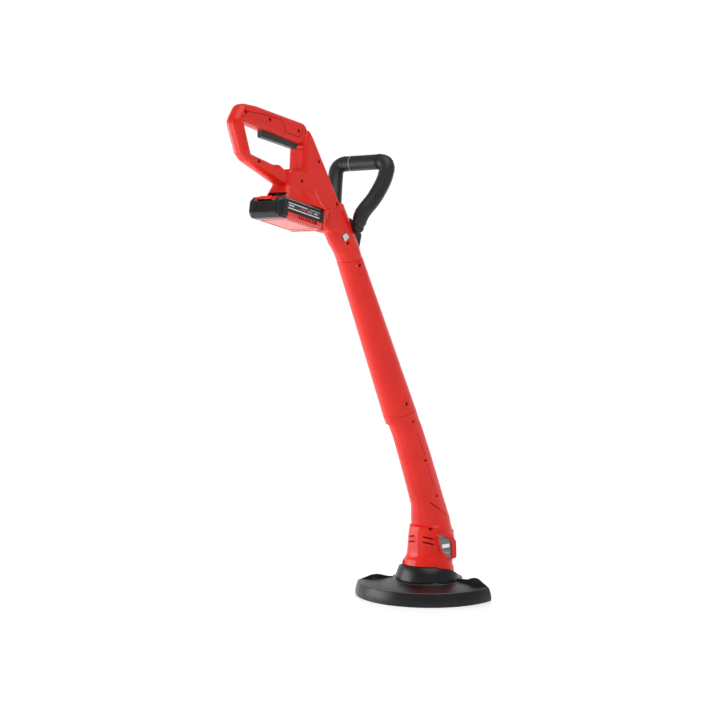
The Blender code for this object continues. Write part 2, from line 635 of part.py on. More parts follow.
def make_tube(finish):
    """One tapering tube, its ends cut flatter than square, with a screw boss near each end."""
    def form(inset, spare):
        stations = []
        for share in (-spare, 0.25 * TUBE_LENGTH, 0.5 * TUBE_LENGTH, 0.75 * TUBE_LENGTH, TUBE_LENGTH + spare):
            p, r = shaft_point(share), tube_radius(share)
            stations.append((p.x, p.z, TUBE_LEAN, r, r))
        return loft("tube", stations, inset, sides=TUBE_SIDES)

    tube = form(0.0, 0.030)
    tube.name = "shaft_tube"
    for distance in (UPPER_SCREW, LOWER_SCREW):
        r = tube_radius(distance)
        join(tube, rod("boss", shaft_point(distance, r - 0.006), shaft_point(distance, r + 0.0030),
                       (0.0058, 0.0058, 0.0048), sides=16, stops=(0, 0.7, 1)))
    for end, above in ((shaft_point(0.0002), False), (shaft_point(TUBE_LENGTH - 0.0002), True)):
        cut(tube, leaning_cutter("cut", (end.x, end.z), TUBE_END_LEAN, above))
    cut(tube, form(TUBE_WALL, 0.060))
    for distance in (UPPER_SCREW, LOWER_SCREW):
        r = tube_radius(distance)
        cut(tube, rod("cut", shaft_point(distance, r + 0.0005), shaft_point(distance, r + 0.010),
                      (SCREW_RECESS_R,) * 2, sides=12),
            rod("cut", shaft_point(distance, r - 0.012), shaft_point(distance, r + 0.010),
                (SCREW_SHANK_R + GAP,) * 2, sides=12))
    return paint(tube, finish)


def tube_screw_hole(distance):
    r = tube_radius(distance)
    return rod("cut", shaft_point(distance, r - 0.012), shaft_point(distance, r + 0.02),
               (SCREW_SHANK_R + GAP,) * 2, sides=12)


def tube_screw(name, distance, finish):
    r = tube_radius(distance)
    return rod(name, shaft_point(distance, r + 0.0026), shaft_point(distance, r - 0.0110),
               (SCREW_HEAD_R * 0.8, SCREW_HEAD_R, SCREW_HEAD_R, SCREW_SHANK_R, SCREW_SHANK_R * 0.5),
               finish, 12, (0, 0.06, 0.13, 0.135, 1))


def housing_form(inset, spare=0.0):
    """Motor housing: leaning neck, upright back, fuller front. spare lengthens both ends for a cutter."""
    stations = list(HOUSING_STATIONS)
    if spare:
        x, z, lean, a, b = stations[0]
        turn = math.radians(lean)
        stations[0] = (x - spare * math.sin(turn), z + spare * math.cos(turn), lean, a, b)
        x, z, lean, a, b = stations[-1]
        stations[-1] = (x, z - spare, lean, a, b)
    return loft("housing", stations, inset, sides=14 if inset else 28, power=2.3)


def window_point(forward, z, out):
    """From the label window's own plane to the part's: it faces the right and a little to the rear."""
    turn = math.radians(WINDOW_TURN)
    return Vector((WINDOW_CENTRE[0] + forward * math.cos(turn) - out * math.sin(turn),
                   WINDOW_CENTRE[1] - forward * math.sin(turn) - out * math.cos(turn), z))


def window_plate(name, corners, low, high, inset=0.0):
    loop = corner_loop(corners, inset, 2)
    return solid(name, [[window_point(p.x, p.y, out) for p in loop] for out in (low, high)])


def make_housing(finish):
    shell = housing_form(0.0)
    seam = shaft_point(TUBE_LENGTH + 0.0002)
    join(shell, sleeve_form())
    cut(shell, leaning_cutter("cut", (seam.x, seam.z), TUBE_END_LEAN, False))
    add_hood(shell)
    radius = tube_radius(TUBE_LENGTH - SPIGOT) - TUBE_WALL - SPIGOT_CLEARANCE
    end_radius = 0.0262
    join(shell, rod("spigot", shaft_point(TUBE_LENGTH - SPIGOT), shaft_point(TUBE_LENGTH + 0.010),
                    (radius, radius, end_radius, end_radius), sides=TUBE_SIDES, stops=(0, 0.6, 0.66, 1)))
    cavity = housing_form(WALL, 0.02)
    cut(cavity, *screw_posts(HOUSING_SCREWS, 0.0042))
    cut(shell, cavity, rod("bore", shaft_point(TUBE_LENGTH - SPIGOT - 0.01), shaft_point(TUBE_LENGTH + 0.004),
                           (radius - WALL,) * 2, sides=16))
    cut(shell, tube_screw_hole(LOWER_SCREW), window_plate("cut", WINDOW, WINDOW_FLOOR, 0.05))
    cut_vents(shell)
    join(shell, skirt_form(0.0))
    left, right = halves(shell, "motor_housing_left", "motor_housing_right", finish)
    drill_screws(right, left, HOUSING_SCREWS)
    return left, right


def sleeve_form():
    """A round sleeve as wide as the tube, which steps down to the neck at the rear."""
    radius = tube_radius(TUBE_LENGTH)
    sleeve = rod("sleeve", shaft_point(TUBE_LENGTH - 0.020), shaft_point(TUBE_LENGTH + 0.060), (radius,) * 2,
                 sides=TUBE_SIDES)
    return cut(sleeve, leaning_cutter("cut", SLEEVE_STEP, SLEEVE_STEP_LEAN, True))


def along_profile(profile, z):
    """The radius that a falling (radius, z) profile has at z."""
    for (r0, z0), (r1, z1) in zip(profile, profile[1:]):
        if z >= z1:
            return r0 + (r1 - r0) * (z0 - z) / (z0 - z1)
    return profile[-1][0]


def skirt_form(gap):
    """The housing's skirt over the front of the collar, or the cutter for it when gap is its clearance."""
    reach, spare_turn = SKIRT_EDGE[-1][0], math.degrees(gap / SKIRT_OUTER[0][0])
    turns = 20
    rings = []
    for k in range(turns + 1):
        angle = -reach + 2 * reach * k / turns + spare_turn * ((k == turns) - (k == 0))
        foot = SKIRT_EDGE[-1][1]
        for (a0, z0), (a1, z1) in zip(SKIRT_EDGE, SKIRT_EDGE[1:]):
            if a0 <= abs(angle) < a1:
                foot = z0 + (z1 - z0) * (abs(angle) - a0) / (a1 - a0)
        spare, low = 0.0200 if gap else 0.0, foot - gap
        levels = [*(max(z, low) for _, z in SKIRT_OUTER[:-1]), low]
        ring = [(along_profile(SKIRT_OUTER, z) + spare, z) for z in levels]
        levels = [*(max(z, low) for _, z in SKIRT_INNER[:-1]), low]
        ring += [(along_profile(SKIRT_INNER, z) - gap, z) for z in reversed(levels)]
        c, s = math.cos(math.radians(angle)), math.sin(math.radians(angle))
        rings.append([(r * c, r * s, z) for r, z in ring])
    return solid("skirt", rings)


def add_hood(shell):
    """The raised frame round the label window. Its flat front edge stands off the round housing as a lip."""
    join(shell, window_plate("frame", WINDOW_FRAME, -0.0140, WINDOW_PROUD))


def cut_vents(shell):
    """Two slots in each half, from near the seam at the back round to the side, falling forwards."""
    for top in (0.1120, 0.1020):
        for side in (-1, 1):
            corners = ((-0.0600, top - 0.0026), (-0.0208, top - 0.0026), (-0.0208, top), (-0.0600, top))
            cut(shell, solid("cut", [[(x, y, z - VENT_FALL * (x + 0.032)) for x, z in corners]
                                     for y in (side * 0.0090, side * 0.0600)]))


def make_motor(metal, black):
    can = revolve("motor_can", [(0.0060, 0.0740), (0.0185, 0.0740), (0.0195, 0.0760), (0.0195, 0.1170),
                                (0.0185, 0.1190), (0.0060, 0.1190)], metal, 20)
    mount = revolve("motor_mount", [(0.0080, 0.0640), (0.0280, 0.0640), (0.0280, 0.0680), (0.0220, 0.0736),
                                    (0.0080, 0.0736)], black, 20)
    shaft = rod("spindle", (0, 0, 0.0110), (0, 0, 0.1300), (SPINDLE_RADIUS,) * 2, metal, 16)
    return can, mount, shaft


def make_collar(finish):
    """The black cone between the housing and the guard."""
    t, bore, inside = 0.0030, 0.0300, 0.0440
    profile = [(COLLAR_FOOT_RADIUS, COLLAR_FOOT_Z), (COLLAR_FOOT_RADIUS - 0.001, COLLAR_FOOT_Z + 0.006),
               (0.0562, 0.0440), (0.0535, 0.0510), (COLLAR_TOP_RADIUS, COLLAR_TOP_Z), (bore, COLLAR_TOP_Z),
               (bore, COLLAR_TOP_Z - t), (inside - 0.0040, COLLAR_TOP_Z - t), (inside, COLLAR_TOP_Z - 2 * t),
               (inside, COLLAR_FOOT_Z + t), (COLLAR_FOOT_RADIUS - t, COLLAR_FOOT_Z)]
    return cut(revolve("collar", profile, finish, 36), skirt_form(SKIRT_GAP))


def guard_profile():
    r, w = GUARD_RADIUS, GUARD_WALL
    top = COLLAR_FOOT_Z - GAP
    return [(r - w, 0.0), (r, 0.0), (r + 0.0005, 0.0060), (r - 0.0010, 0.0140),
            (GUARD_RIDGE_RADIUS + 0.0012, 0.0228), (GUARD_RIDGE_RADIUS - 0.0015, GUARD_RIDGE_Z),
            (0.1000, 0.0272), (0.0680, 0.0292), (0.0665, top),
            (0.0300, top), (0.0300, top - 0.0026), (0.0640, top - 0.0026), (0.0660, 0.0262), (0.1000, 0.0242),
            (GUARD_RIDGE_RADIUS - 0.0050, 0.0212), (r - w - 0.0010, 0.0130)]


def guard_ear(angle, top):
    """The upright rib along a cut edge: its top follows (radius, z), its foot sits in the plate."""
    a = math.radians(angle)
    out, across = Vector((math.cos(a), math.sin(a), 0)), Vector((-math.sin(a), math.cos(a), 0))
    foot = [(0.1270, 0.0205), (0.1000, 0.0248), (0.0640, 0.0270)]
    rings = []
    for side in (-0.5, 0.5):
        rings.append([out * r + across * side * EAR_THICKNESS + Vector((0, 0, z)) for r, z in [*top, *foot]])
    return solid("ear", rings)


def make_guard(finish):
    """A sector of the full skirt, a round hub under the collar and a bead along each cut edge."""
    guard = revolve("guard", guard_profile(), finish, 30, GUARD_START, GUARD_END)
    hub = revolve("hub", [(0.0300, COLLAR_FOOT_Z - GAP - 0.0026), (0.0640, COLLAR_FOOT_Z - GAP - 0.0026),
                          (0.0660, COLLAR_FOOT_Z - GAP - 0.0015), (0.0660, COLLAR_FOOT_Z - GAP),
                          (0.0300, COLLAR_FOOT_Z - GAP)], None, 32)
    join(guard, hub)
    for angle, ear in ((GUARD_START, LEFT_EAR), (GUARD_END, RIGHT_EAR)):
        join(guard, guard_ear(angle, ear))
    return paint(guard, finish)


def make_spool(black, red, line_finish):
    """The cutting head: drum, spool with its wound line, and the bump cap."""
    r = SPOOL_RADIUS
    drum = revolve("spool_drum", [(0.0043, 0.0300), (0.0043, 0.0215), (0.0080, 0.0215), (0.0080, 0.0225),
                                  (r - 0.0024, 0.0225), (r - 0.0024, 0.0040), (r, 0.0040), (r, 0.0225),
                                  (r - 0.002, 0.0250), (0.0140, 0.0262), (0.0120, 0.0300)], black, 28)
    for side in (-1, 1):
        cut(drum, rod("cut", (side * (r - 0.008), 0, 0.0120), (side * (r + 0.01), 0, 0.0120),
                      (0.0030, 0.0030), sides=12))
    low, high, flange = 0.0040, 0.0185, 0.0016
    spool = revolve("spool", [(0.0085, low), (0.0340, low), (0.0340, low + flange), (0.0160, low + flange),
                              (0.0160, high - flange), (0.0340, high - flange), (0.0340, high),
                              (0.0085, high)], red, 20)
    revolve("line_winding", [(0.0163, low + flange + GAP), (0.0300, low + flange + GAP),
                             (0.0300, high - flange - GAP), (0.0163, high - flange - GAP)], line_finish, 20)
    cap = revolve("bump_cap", [(0.0, 0.0012), (0.0120, 0.0012), (r - 0.006, 0.0024), (r - 0.0030, 0.0034),
                               (r - 0.0030, 0.0036), (0.0050, 0.0036), (0.0050, 0.0070), (0.0, 0.0070)],
                  black, 28)
    return drum, spool, cap


def make_line_cutter(metal):
    a = math.radians(GUARD_END - 6)
    out, along = Vector((math.cos(a), math.sin(a), 0)), Vector((-math.sin(a), math.cos(a), 0))
    base = out * (GUARD_RADIUS - GUARD_WALL - 0.0012)
    ring = [(0.0, 0.003), (0.0, 0.0120), (-0.0010, 0.0120), (-0.0010, 0.003)]
    rings = [[base + along * s - out * (0.0010 + GAP - p[0]) + Vector((0, 0, p[1])) for p in ring]
             for s in (-0.009, 0.009)]
    return solid("line_cutter", rings, metal)


def smooth(points, per=4):
    """Catmull-Rom points through the given ones."""
    ends = [points[0] * 2 - points[1], *points, points[-1] * 2 - points[-2]]
    out = []
    for i in range(1, len(ends) - 2):
        p0, p1, p2, p3 = ends[i - 1:i + 3]
        for k in range(per):
            t = k / per
            out.append(0.5 * (2 * p1 + (p2 - p0) * t + (2 * p0 - 5 * p1 + 4 * p2 - p3) * t * t
                              + (3 * p1 - p0 - 3 * p2 + p3) * t ** 3))
    return [*out, points[-1]]


def aux_path():
    """From the right pivot up the arm, round the bend and across to the middle, then mirrored."""
    lean = Vector((AUX_TOP[0] - AUX_ARM[-1][1], 0, AUX_TOP[1] - AUX_ARM[-1][2])).normalized()
    top = Vector((AUX_TOP[0], 0, AUX_TOP[1]))
    arm = [Vector((x, -y, z)) for y, x, z in AUX_ARM]
    arm.append(top - lean * AUX_BEND + Vector((0, -AUX_HALF_WIDTH, 0)))
    half = smooth(arm, 3)
    for k in range(1, 6):
        angle = math.radians(18 * k)
        half.append(top - lean * AUX_BEND * (1 - math.sin(angle))
                    + Vector((0, -AUX_HALF_WIDTH + AUX_BEND * (1 - math.cos(angle)), 0)))
    return [*half, *[Vector((p.x, -p.y, p.z)) for p in reversed(half)]]


def make_aux(finish):
    """The front hand loop: two arms and a cross grip, turning on the saddle."""
    x, z = AUX_PIVOT
    path = aux_path()
    radii = [AUX_RADIUS * (0.80 if i in (0, len(path) - 1) else 1.0) for i in range(len(path))]
    loop = sweep("aux_loop", path, radii, None, 12)
    r, inner = 3 * AUX_RADIUS, AUX_ARM_INNER
    cut(loop, box("cut", (x - r, -inner, z - r), (x + r, inner, z + r)))
    for side in (-1, 1):
        join(loop, rod("hub", (x, side * AUX_HUB_INNER, z), (x, side * AUX_HUB_OUTER, z),
                       (AUX_HUB_RADIUS, AUX_HUB_RADIUS, AUX_HUB_RADIUS - 0.001), sides=16, stops=(0, 0.85, 1)))
    cut(loop, rod("cut", (x, AUX_HUB_OUTER, z), (x, 0.06, z), (0.0075, 0.0075), sides=16), bolt_hole())
    paint(loop, finish)
    set_origin(loop, (x, 0, z))
    return loop


def bolt_hole():
    """Open at the left, and blind in the right hub."""
    x, z = AUX_PIVOT
    return rod("cut", (x, BOLT_TIP - STOP_GAP, z), (x, 0.06, z), (BOLT_RADIUS + BOLT_CLEARANCE,) * 2, sides=16)


def make_saddle(finish, metal):
    """The block on the housing's front that carries the loop, and the bolt through both."""
    x, z = AUX_PIVOT
    corners = [(x + 0.0200, z - 0.0400, 0.002), (x + 0.0285, z - 0.0135, 0.004),
               (x + 0.0160, z + 0.0040, 0.008), (x - 0.0040, z + 0.0140, 0.005), (x - 0.0160, z + 0.0140, 0.002)]
    saddle = pillow("aux_saddle", corners, 0.0120, 0.0015, layers=2, steps=3)
    cut(saddle, handle_solid(-3 * GAP), bolt_hole())
    paint(saddle, finish)
    bolt = rod("aux_bolt", (x, 0.0330, z), (x, BOLT_TIP, z),
               (0.0050, 0.0060, 0.0060, BOLT_RADIUS, BOLT_RADIUS), metal, 16, (0, 0.012, 0.045, 0.0455, 1))
    return saddle, bolt


def build():
    clear_scene()
    red = material("red_plastic", (0.60, 0.020, 0.012), 0.38)
    black = material("black_plastic", (0.018, 0.019, 0.020), 0.45)
    steel = material("steel", (0.60, 0.60, 0.61), 0.30, 1.0)
    grey = material("grey_label", (0.32, 0.32, 0.31), 0.35, 0.4)
    nylon = material("line_nylon", (0.75, 0.30, 0.04), 0.4)

    make_handle(red)
    make_trigger(black)
    make_switch(black)
    make_lock_button(black)
    make_terminals(black)
    case, tray, release, cells = make_pack(black, red, steel)
    attach([tray, release, *cells], case)
    make_tube(red)
    tube_screw("tube_screw_upper", UPPER_SCREW, steel)
    tube_screw("tube_screw_lower", LOWER_SCREW, steel)
    make_housing(red)
    back = WINDOW_FLOOR + GAP
    paint(window_plate("motor_label", WINDOW, back, back + LABEL_THICKNESS, GAP), grey)
    make_motor(steel, black)
    make_collar(black)
    make_guard(black)
    make_line_cutter(steel)
    make_spool(black, red, nylon)
    make_aux(black)
    make_saddle(black, steel)
    screws("shell_screw", HANDLE_SCREWS, steel)
    screws("housing_screw", HOUSING_SCREWS, steel)
    for obj in bpy.data.objects:
        obj.data.shade_smooth()
        obj.data.set_sharp_from_angle(angle=math.radians(35))


build()
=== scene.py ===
import json
import math

import bmesh
import bpy
import numpy as np
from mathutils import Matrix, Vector
from mathutils.bvhtree import BVHTree

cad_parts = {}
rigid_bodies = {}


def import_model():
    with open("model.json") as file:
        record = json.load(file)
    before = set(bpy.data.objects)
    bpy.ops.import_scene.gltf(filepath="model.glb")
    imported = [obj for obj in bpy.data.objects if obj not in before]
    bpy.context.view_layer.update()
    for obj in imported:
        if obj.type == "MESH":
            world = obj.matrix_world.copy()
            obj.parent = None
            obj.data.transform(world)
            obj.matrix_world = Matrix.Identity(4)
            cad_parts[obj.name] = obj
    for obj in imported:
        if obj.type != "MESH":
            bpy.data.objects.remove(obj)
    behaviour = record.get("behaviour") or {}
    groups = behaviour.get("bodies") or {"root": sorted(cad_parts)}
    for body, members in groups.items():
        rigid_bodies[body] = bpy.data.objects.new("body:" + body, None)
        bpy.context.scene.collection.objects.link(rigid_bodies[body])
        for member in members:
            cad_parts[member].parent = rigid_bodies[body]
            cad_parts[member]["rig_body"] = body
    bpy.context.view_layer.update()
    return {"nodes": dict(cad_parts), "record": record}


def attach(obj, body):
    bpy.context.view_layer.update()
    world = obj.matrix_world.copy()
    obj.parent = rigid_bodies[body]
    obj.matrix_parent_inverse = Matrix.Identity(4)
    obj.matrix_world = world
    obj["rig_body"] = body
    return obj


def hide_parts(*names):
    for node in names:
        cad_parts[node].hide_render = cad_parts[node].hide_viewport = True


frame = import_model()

print("frame loaded:", len(frame["nodes"]), "nodes")

# What both sides carry is made for the right one, at -y, and then for the left one, at +y.
sides = (("right", -1), ("left", 1))

# Camera, floor and light. The camera looks along +X and +Y from the tool's right rear.
studio = {
    "cameraTurn": 55.0,          # degrees from +Y towards +X
    "cameraDip": 2.55,           # degrees below level
    "cameraDistance": 2.7013,    # along the floor, from the spindle
    "cameraAside": 0.1264,
    "cameraHeight": 0.5575,
    "lens": 72.5,                # millimetres, as is the sensor's width
    "sensor": 36.0,
    "floorRadius": 9.0,
    "floorColour": (0.94, 0.94, 0.94),
    "floorRough": 0.30,
    "floorShine": 0.35,
    "floorGlow": 0.16,           # the floor is a lit table, so that shadows stay faint
    "horizonSky": 1.03,          # brightness of the sky low down, seen behind the tool
    "upperSky": 0.38,
    "skyTurnsAt": (0.22, 0.60),  # sine of the height where the sky starts and ends to dim
    "brightTowards": (0.406, 0.914, 0.0),
    "sideTurnsAt": (-0.20, 0.45),  # cosine to that way where the sky starts and ends to brighten
    "sideShare": 0.64,           # brightness behind the camera, as a share of that behind the tool
    "sunPower": 2.2,
    "sunSoftness": 60.0,         # degrees across
    "sunFrom": (-0.35, -0.55, 1.60),
    "panelPower": 18.0,
    "panelPlace": (-1.0, 1.3, 0.45),
    "panelAim": (-0.1, 0.0, 0.25),
    "panelSize": (1.3, 0.8),
}


def addObject(name, data):
    made = bpy.data.objects.new(name, data)
    bpy.context.scene.collection.objects.link(made)
    return made


def makeCamera():
    turn, dip = math.radians(studio["cameraTurn"]), math.radians(studio["cameraDip"])
    ahead = Vector((math.sin(turn), math.cos(turn), 0))
    right = Vector((math.cos(turn), -math.sin(turn), 0))
    spot = -ahead * studio["cameraDistance"] - right * studio["cameraAside"]
    spot.z = studio["cameraHeight"]
    sight = ahead * math.cos(dip) - Vector((0, 0, 1)) * math.sin(dip)
    data = bpy.data.cameras.new("camera")
    data.lens, data.sensor_width = studio["lens"], studio["sensor"]
    camera = addObject("camera", data)
    camera.location = spot
    camera.rotation_euler = sight.to_track_quat("-Z", "Y").to_euler()
    bpy.context.scene.camera = camera


def makeSky():
    # A white sweep behind the tool, dimmer above it and behind the camera.
    sky = bpy.data.worlds.new("studio")
    sky.use_nodes = True
    nodes, links = sky.node_tree.nodes, sky.node_tree.links
    direction = nodes.new("ShaderNodeTexCoord").outputs["Generated"]
    parts = nodes.new("ShaderNodeSeparateXYZ")
    links.new(direction, parts.inputs[0])
    height = mapRange(nodes, links, parts.outputs["Z"], *studio["skyTurnsAt"],
                      studio["horizonSky"], studio["upperSky"])
    facing = nodes.new("ShaderNodeVectorMath")
    facing.operation = "DOT_PRODUCT"
    facing.inputs[1].default_value = studio["brightTowards"]
    links.new(direction, facing.inputs[0])
    side = mapRange(nodes, links, facing.outputs["Value"], *studio["sideTurnsAt"], studio["sideShare"], 1.0)
    background = nodes["Background"]
    background.inputs["Color"].default_value = (1, 1, 1, 1)
    links.new(arith(nodes, links, "MULTIPLY", height, side), background.inputs["Strength"])
    bpy.context.scene.world = sky
    bpy.context.scene.view_settings.view_transform = "Standard"


def makeLights():
    # A wide soft sun from above, and a large panel that lights the parts' left edges.
    data = bpy.data.lights.new("sun", "SUN")
    data.energy, data.angle = studio["sunPower"], math.radians(studio["sunSoftness"])
    sun = addObject("sun", data)
    sun.rotation_euler = Vector(studio["sunFrom"]).to_track_quat("Z", "Y").to_euler()
    data = bpy.data.lights.new("sideLight", "AREA")
    data.shape, data.energy = "RECTANGLE", studio["panelPower"]
    data.size, data.size_y = studio["panelSize"]
    panel = addObject("sideLight", data)
    panel.location = studio["panelPlace"]
    sight = Vector(studio["panelAim"]) - Vector(studio["panelPlace"])
    panel.rotation_euler = sight.to_track_quat("-Z", "Y").to_euler()


def makeFloor():
    # A disc: radius and angle on a grid, its height zero everywhere.
    radius, angle = np.meshgrid(np.linspace(0.01, studio["floorRadius"], 12), fullTurn(64), indexing="ij")
    grid = np.stack([radius * np.cos(angle), radius * np.sin(angle), 0 * radius], axis=-1)
    floor = gridPiece("floor", grid, closeRound=True, capEnds=(True, False))
    floor.data.materials.append(floorFinish())


# Mesh helpers. A grid is an array [i, j, xyz] of places on a surface of two parameters.
creaseFrom = 40.0  # degrees: an edge of a new piece bent more than this stays sharp


def fullTurn(count):
    return np.linspace(0, 2 * np.pi, count, endpoint=False)


def unit(vectors):
    return vectors / np.linalg.norm(vectors, axis=-1, keepdims=True)


def gridPiece(name, grid, closeRound=False, capEnds=(False, False), flip=False, uv=None):
    # A face joins (i, j), (i + 1, j), (i + 1, j + 1) and (i, j + 1). uv is an array [i, j, 2].
    rows, cols = grid.shape[:2]
    index = np.arange(rows * cols).reshape(rows, cols)
    nextCol = np.roll(index, -1, axis=1) if closeRound else index[:, 1:]
    here = index if closeRound else index[:, :-1]
    faces = np.stack([here[:-1], here[1:], nextCol[1:], nextCol[:-1]], axis=-1).reshape(-1, 4).tolist()
    if capEnds[0]:
        faces.append(index[0].tolist())
    if capEnds[1]:
        faces.append(index[-1][::-1].tolist())
    if flip:
        faces = [face[::-1] for face in faces]
    mesh = bpy.data.meshes.new(name)
    mesh.from_pydata(grid.reshape(-1, 3).tolist(), [], faces)
    if uv is not None:
        layer = mesh.uv_layers.new(name="UVMap")
        corners = np.empty(len(mesh.loops), dtype=np.int32)
        mesh.loops.foreach_get("vertex_index", corners)
        layer.data.foreach_set("uv", uv.reshape(-1, 2)[corners].astype(np.float32).ravel())
    mesh.shade_smooth()
    mesh.set_sharp_from_angle(angle=math.radians(creaseFrom))
    mesh.update()
    return addObject(name, mesh)


def place(piece, finish, body, slot, *replaced):
    piece.data.materials.append(finish)
    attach(piece, body)
    if replaced:
        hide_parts(*replaced)


def basisOf(axis):
    # Two directions square to the axis and to each other, and the axis itself.
    axis = unit(np.asarray(axis, dtype=float))
    helper = np.array([0.0, 0.0, 1.0]) if abs(axis[2]) < 0.9 else np.array([1.0, 0.0, 0.0])
    first = unit(np.cross(helper, axis))
    return first, np.cross(axis, first), axis


def lathe(name, profile, centre=(0, 0, 0), axis=(0, 0, 1), turns=48, lobes=0, capEnds=(False, False),
          flip=False):
    # Each (radius, height) goes round the axis. Where a row has a third number, its radius swells by that
    # share, lobes times on the way round.
    radius, height, share = np.array([(*row, 0.0)[:3] for row in profile], dtype=float).T
    angle = fullTurn(turns)
    swell = 1 + share[:, None] * np.cos(lobes * angle)
    first, second, along = basisOf(axis)
    outwards = np.cos(angle)[:, None] * first + np.sin(angle)[:, None] * second
    grid = np.array(centre) + height[:, None, None] * along + (radius[:, None] * swell)[..., None] * outwards
    return gridPiece(name, grid, True, capEnds, flip)


def bead(name, points, normals, width, height, sides=8):
    # An ellipse carried along a path on a surface: width across it, height out of it, fading in at both ends.
    along = unit(np.gradient(points, axis=0))
    across = unit(np.cross(along, normals))
    angle = fullTurn(sides)
    steps = np.linalg.norm(np.diff(points, axis=0), axis=1)
    travelled = np.concatenate([[0], np.cumsum(steps)])
    toEnd = np.minimum(travelled, travelled[-1] - travelled)
    grow = np.sqrt(np.clip(toEnd / width, 0.02, 1))[:, None, None]
    grid = points[:, None] + grow * (across[:, None] * np.cos(angle)[None, :, None] * width / 2
                                     + normals[:, None] * np.sin(angle)[None, :, None] * height)
    return gridPiece(name, grid, True, (True, True))


def ring(name, centre, axis, radius, width, height, sides=8, turns=48):
    # The same ellipse carried round a circle: width along the axis, height out from it.
    angle = np.append(fullTurn(sides), 0)
    profile = [(radius + height * math.sin(a), width / 2 * math.cos(a)) for a in angle]
    return lathe(name, profile, centre, axis, turns)


rayStart = 0.25  # metres before the route, outside every node
surfaces = {}


def surfaceOf(node):
    # A tree of the node's triangles that rays are thrown at, kept for the next call.
    if node not in surfaces:
        source = frame["nodes"][node].data
        faces = [list(face.vertices) for face in source.polygons]
        surfaces[node] = BVHTree.FromPolygons(vertsOf(source).tolist(), faces)
    return surfaces[node]


def vertsOf(mesh):
    verts = np.empty(len(mesh.vertices) * 3, dtype=np.float32)
    mesh.vertices.foreach_get("co", verts)
    return verts.reshape(-1, 3)


def runningMean(rows, reach):
    # Each row becomes the mean of itself and of reach rows on either side, with the end rows repeated.
    weights = np.ones(2 * reach + 1) / (2 * reach + 1)
    padded = np.pad(rows, ((reach, reach), (0, 0)), mode="edge")
    return np.stack([np.convolve(padded[:, k], weights, "valid") for k in range(3)], axis=-1)


def routeOn(node, route, direction, step, soften):
    # A route of 3-D corners, softened, and thrown along a direction onto the node's surface.
    corners = np.array(route, dtype=float)
    lengths = np.concatenate([[0], np.cumsum(np.linalg.norm(np.diff(corners, axis=0), axis=1))])
    marks = np.linspace(0, lengths[-1], max(int(lengths[-1] / step), 8))
    line = np.stack([np.interp(marks, lengths, corners[:, k]) for k in range(3)], axis=-1)
    sight = Vector(direction).normalized()
    hits = [surfaceOf(node).ray_cast(Vector(spot) - sight * rayStart, sight)
            for spot in runningMean(line, soften).tolist()]
    found = [hit for hit in hits if hit[0] is not None]
    points = np.array([hit[0][:] for hit in found])
    normals = np.array([hit[1][:] for hit in found])
    return points, unit(runningMean(normals, 1))


def lineOn(name, node, route, width, height, finish, body, slot, direction, soften, step=0.0012):
    points, normals = routeOn(node, route, direction, step, soften)
    place(bead(name, points, normals, width, height), finish, body, slot)


def edgeSpaced(count):
    # Shares from 0 to 1, closer together near both ends.
    share = np.linspace(0, 1, count)
    return share - 0.9 * np.sin(2 * np.pi * share) / (2 * np.pi)


def slab(name, corner, across, upward, thickness, rim, cells):
    # A thin plate: corner + s * across + t * upward, standing out by thickness, with a quarter-round rim.
    corner, across, upward = (np.array(v, dtype=float) for v in (corner, across, upward))
    out = unit(np.cross(across, upward))
    s, t = np.meshgrid(edgeSpaced(cells[0]), edgeSpaced(cells[1]), indexing="ij")
    wide, tall = np.linalg.norm(across), np.linalg.norm(upward)
    toEdge = np.minimum(np.minimum(s, 1 - s) * wide, np.minimum(t, 1 - t) * tall)
    rise = thickness * np.sqrt(1 - (1 - np.clip(toEdge / rim, 0, 1)) ** 2)
    grid = corner + s[..., None] * across + t[..., None] * upward + rise[..., None] * out
    return gridPiece(name, grid, uv=np.stack([s, t], axis=-1))


# Node helpers for the finishes.
def newFinish(name):
    finish = bpy.data.materials.new(name)
    finish.use_nodes = True
    nodes = finish.node_tree.nodes
    return finish, nodes, finish.node_tree.links, nodes["Principled BSDF"]


def objectPlace(nodes):
    return nodes.new("ShaderNodeTexCoord").outputs["Object"]


def stretched(nodes, links, spot, scale):
    mapping = nodes.new("ShaderNodeMapping")
    mapping.inputs["Scale"].default_value = scale
    links.new(spot, mapping.inputs["Vector"])
    return mapping.outputs["Vector"]


def noise(nodes, links, spot, scale, detail=2.0, roughness=0.5):
    pattern = nodes.new("ShaderNodeTexNoise")
    pattern.inputs["Scale"].default_value = scale
    pattern.inputs["Detail"].default_value = detail
    pattern.inputs["Roughness"].default_value = roughness
    links.new(spot, pattern.inputs["Vector"])
    return pattern.outputs["Fac"]


def ramp(nodes, links, value, low, high, colourLow, colourHigh):
    blend = nodes.new("ShaderNodeValToRGB")
    first, last = blend.color_ramp.elements
    first.position, last.position = low, high
    first.color, last.color = (*colourLow, 1), (*colourHigh, 1)
    links.new(value, blend.inputs["Fac"])
    return blend.outputs["Color"]


def mapRange(nodes, links, value, low, high, outLow, outHigh):
    remap = nodes.new("ShaderNodeMapRange")
    for key, number in zip(("From Min", "From Max", "To Min", "To Max"), (low, high, outLow, outHigh)):
        remap.inputs[key].default_value = number
    links.new(value, remap.inputs["Value"])
    return remap.outputs["Result"]


def arith(nodes, links, operation, first, second=0.0):
    step = nodes.new("ShaderNodeMath")
    step.operation = operation
    for socket, value in zip(step.inputs, (first, second)):
        if isinstance(value, (int, float)):
            socket.default_value = value
        else:
            links.new(value, socket)
    return step.outputs[0]


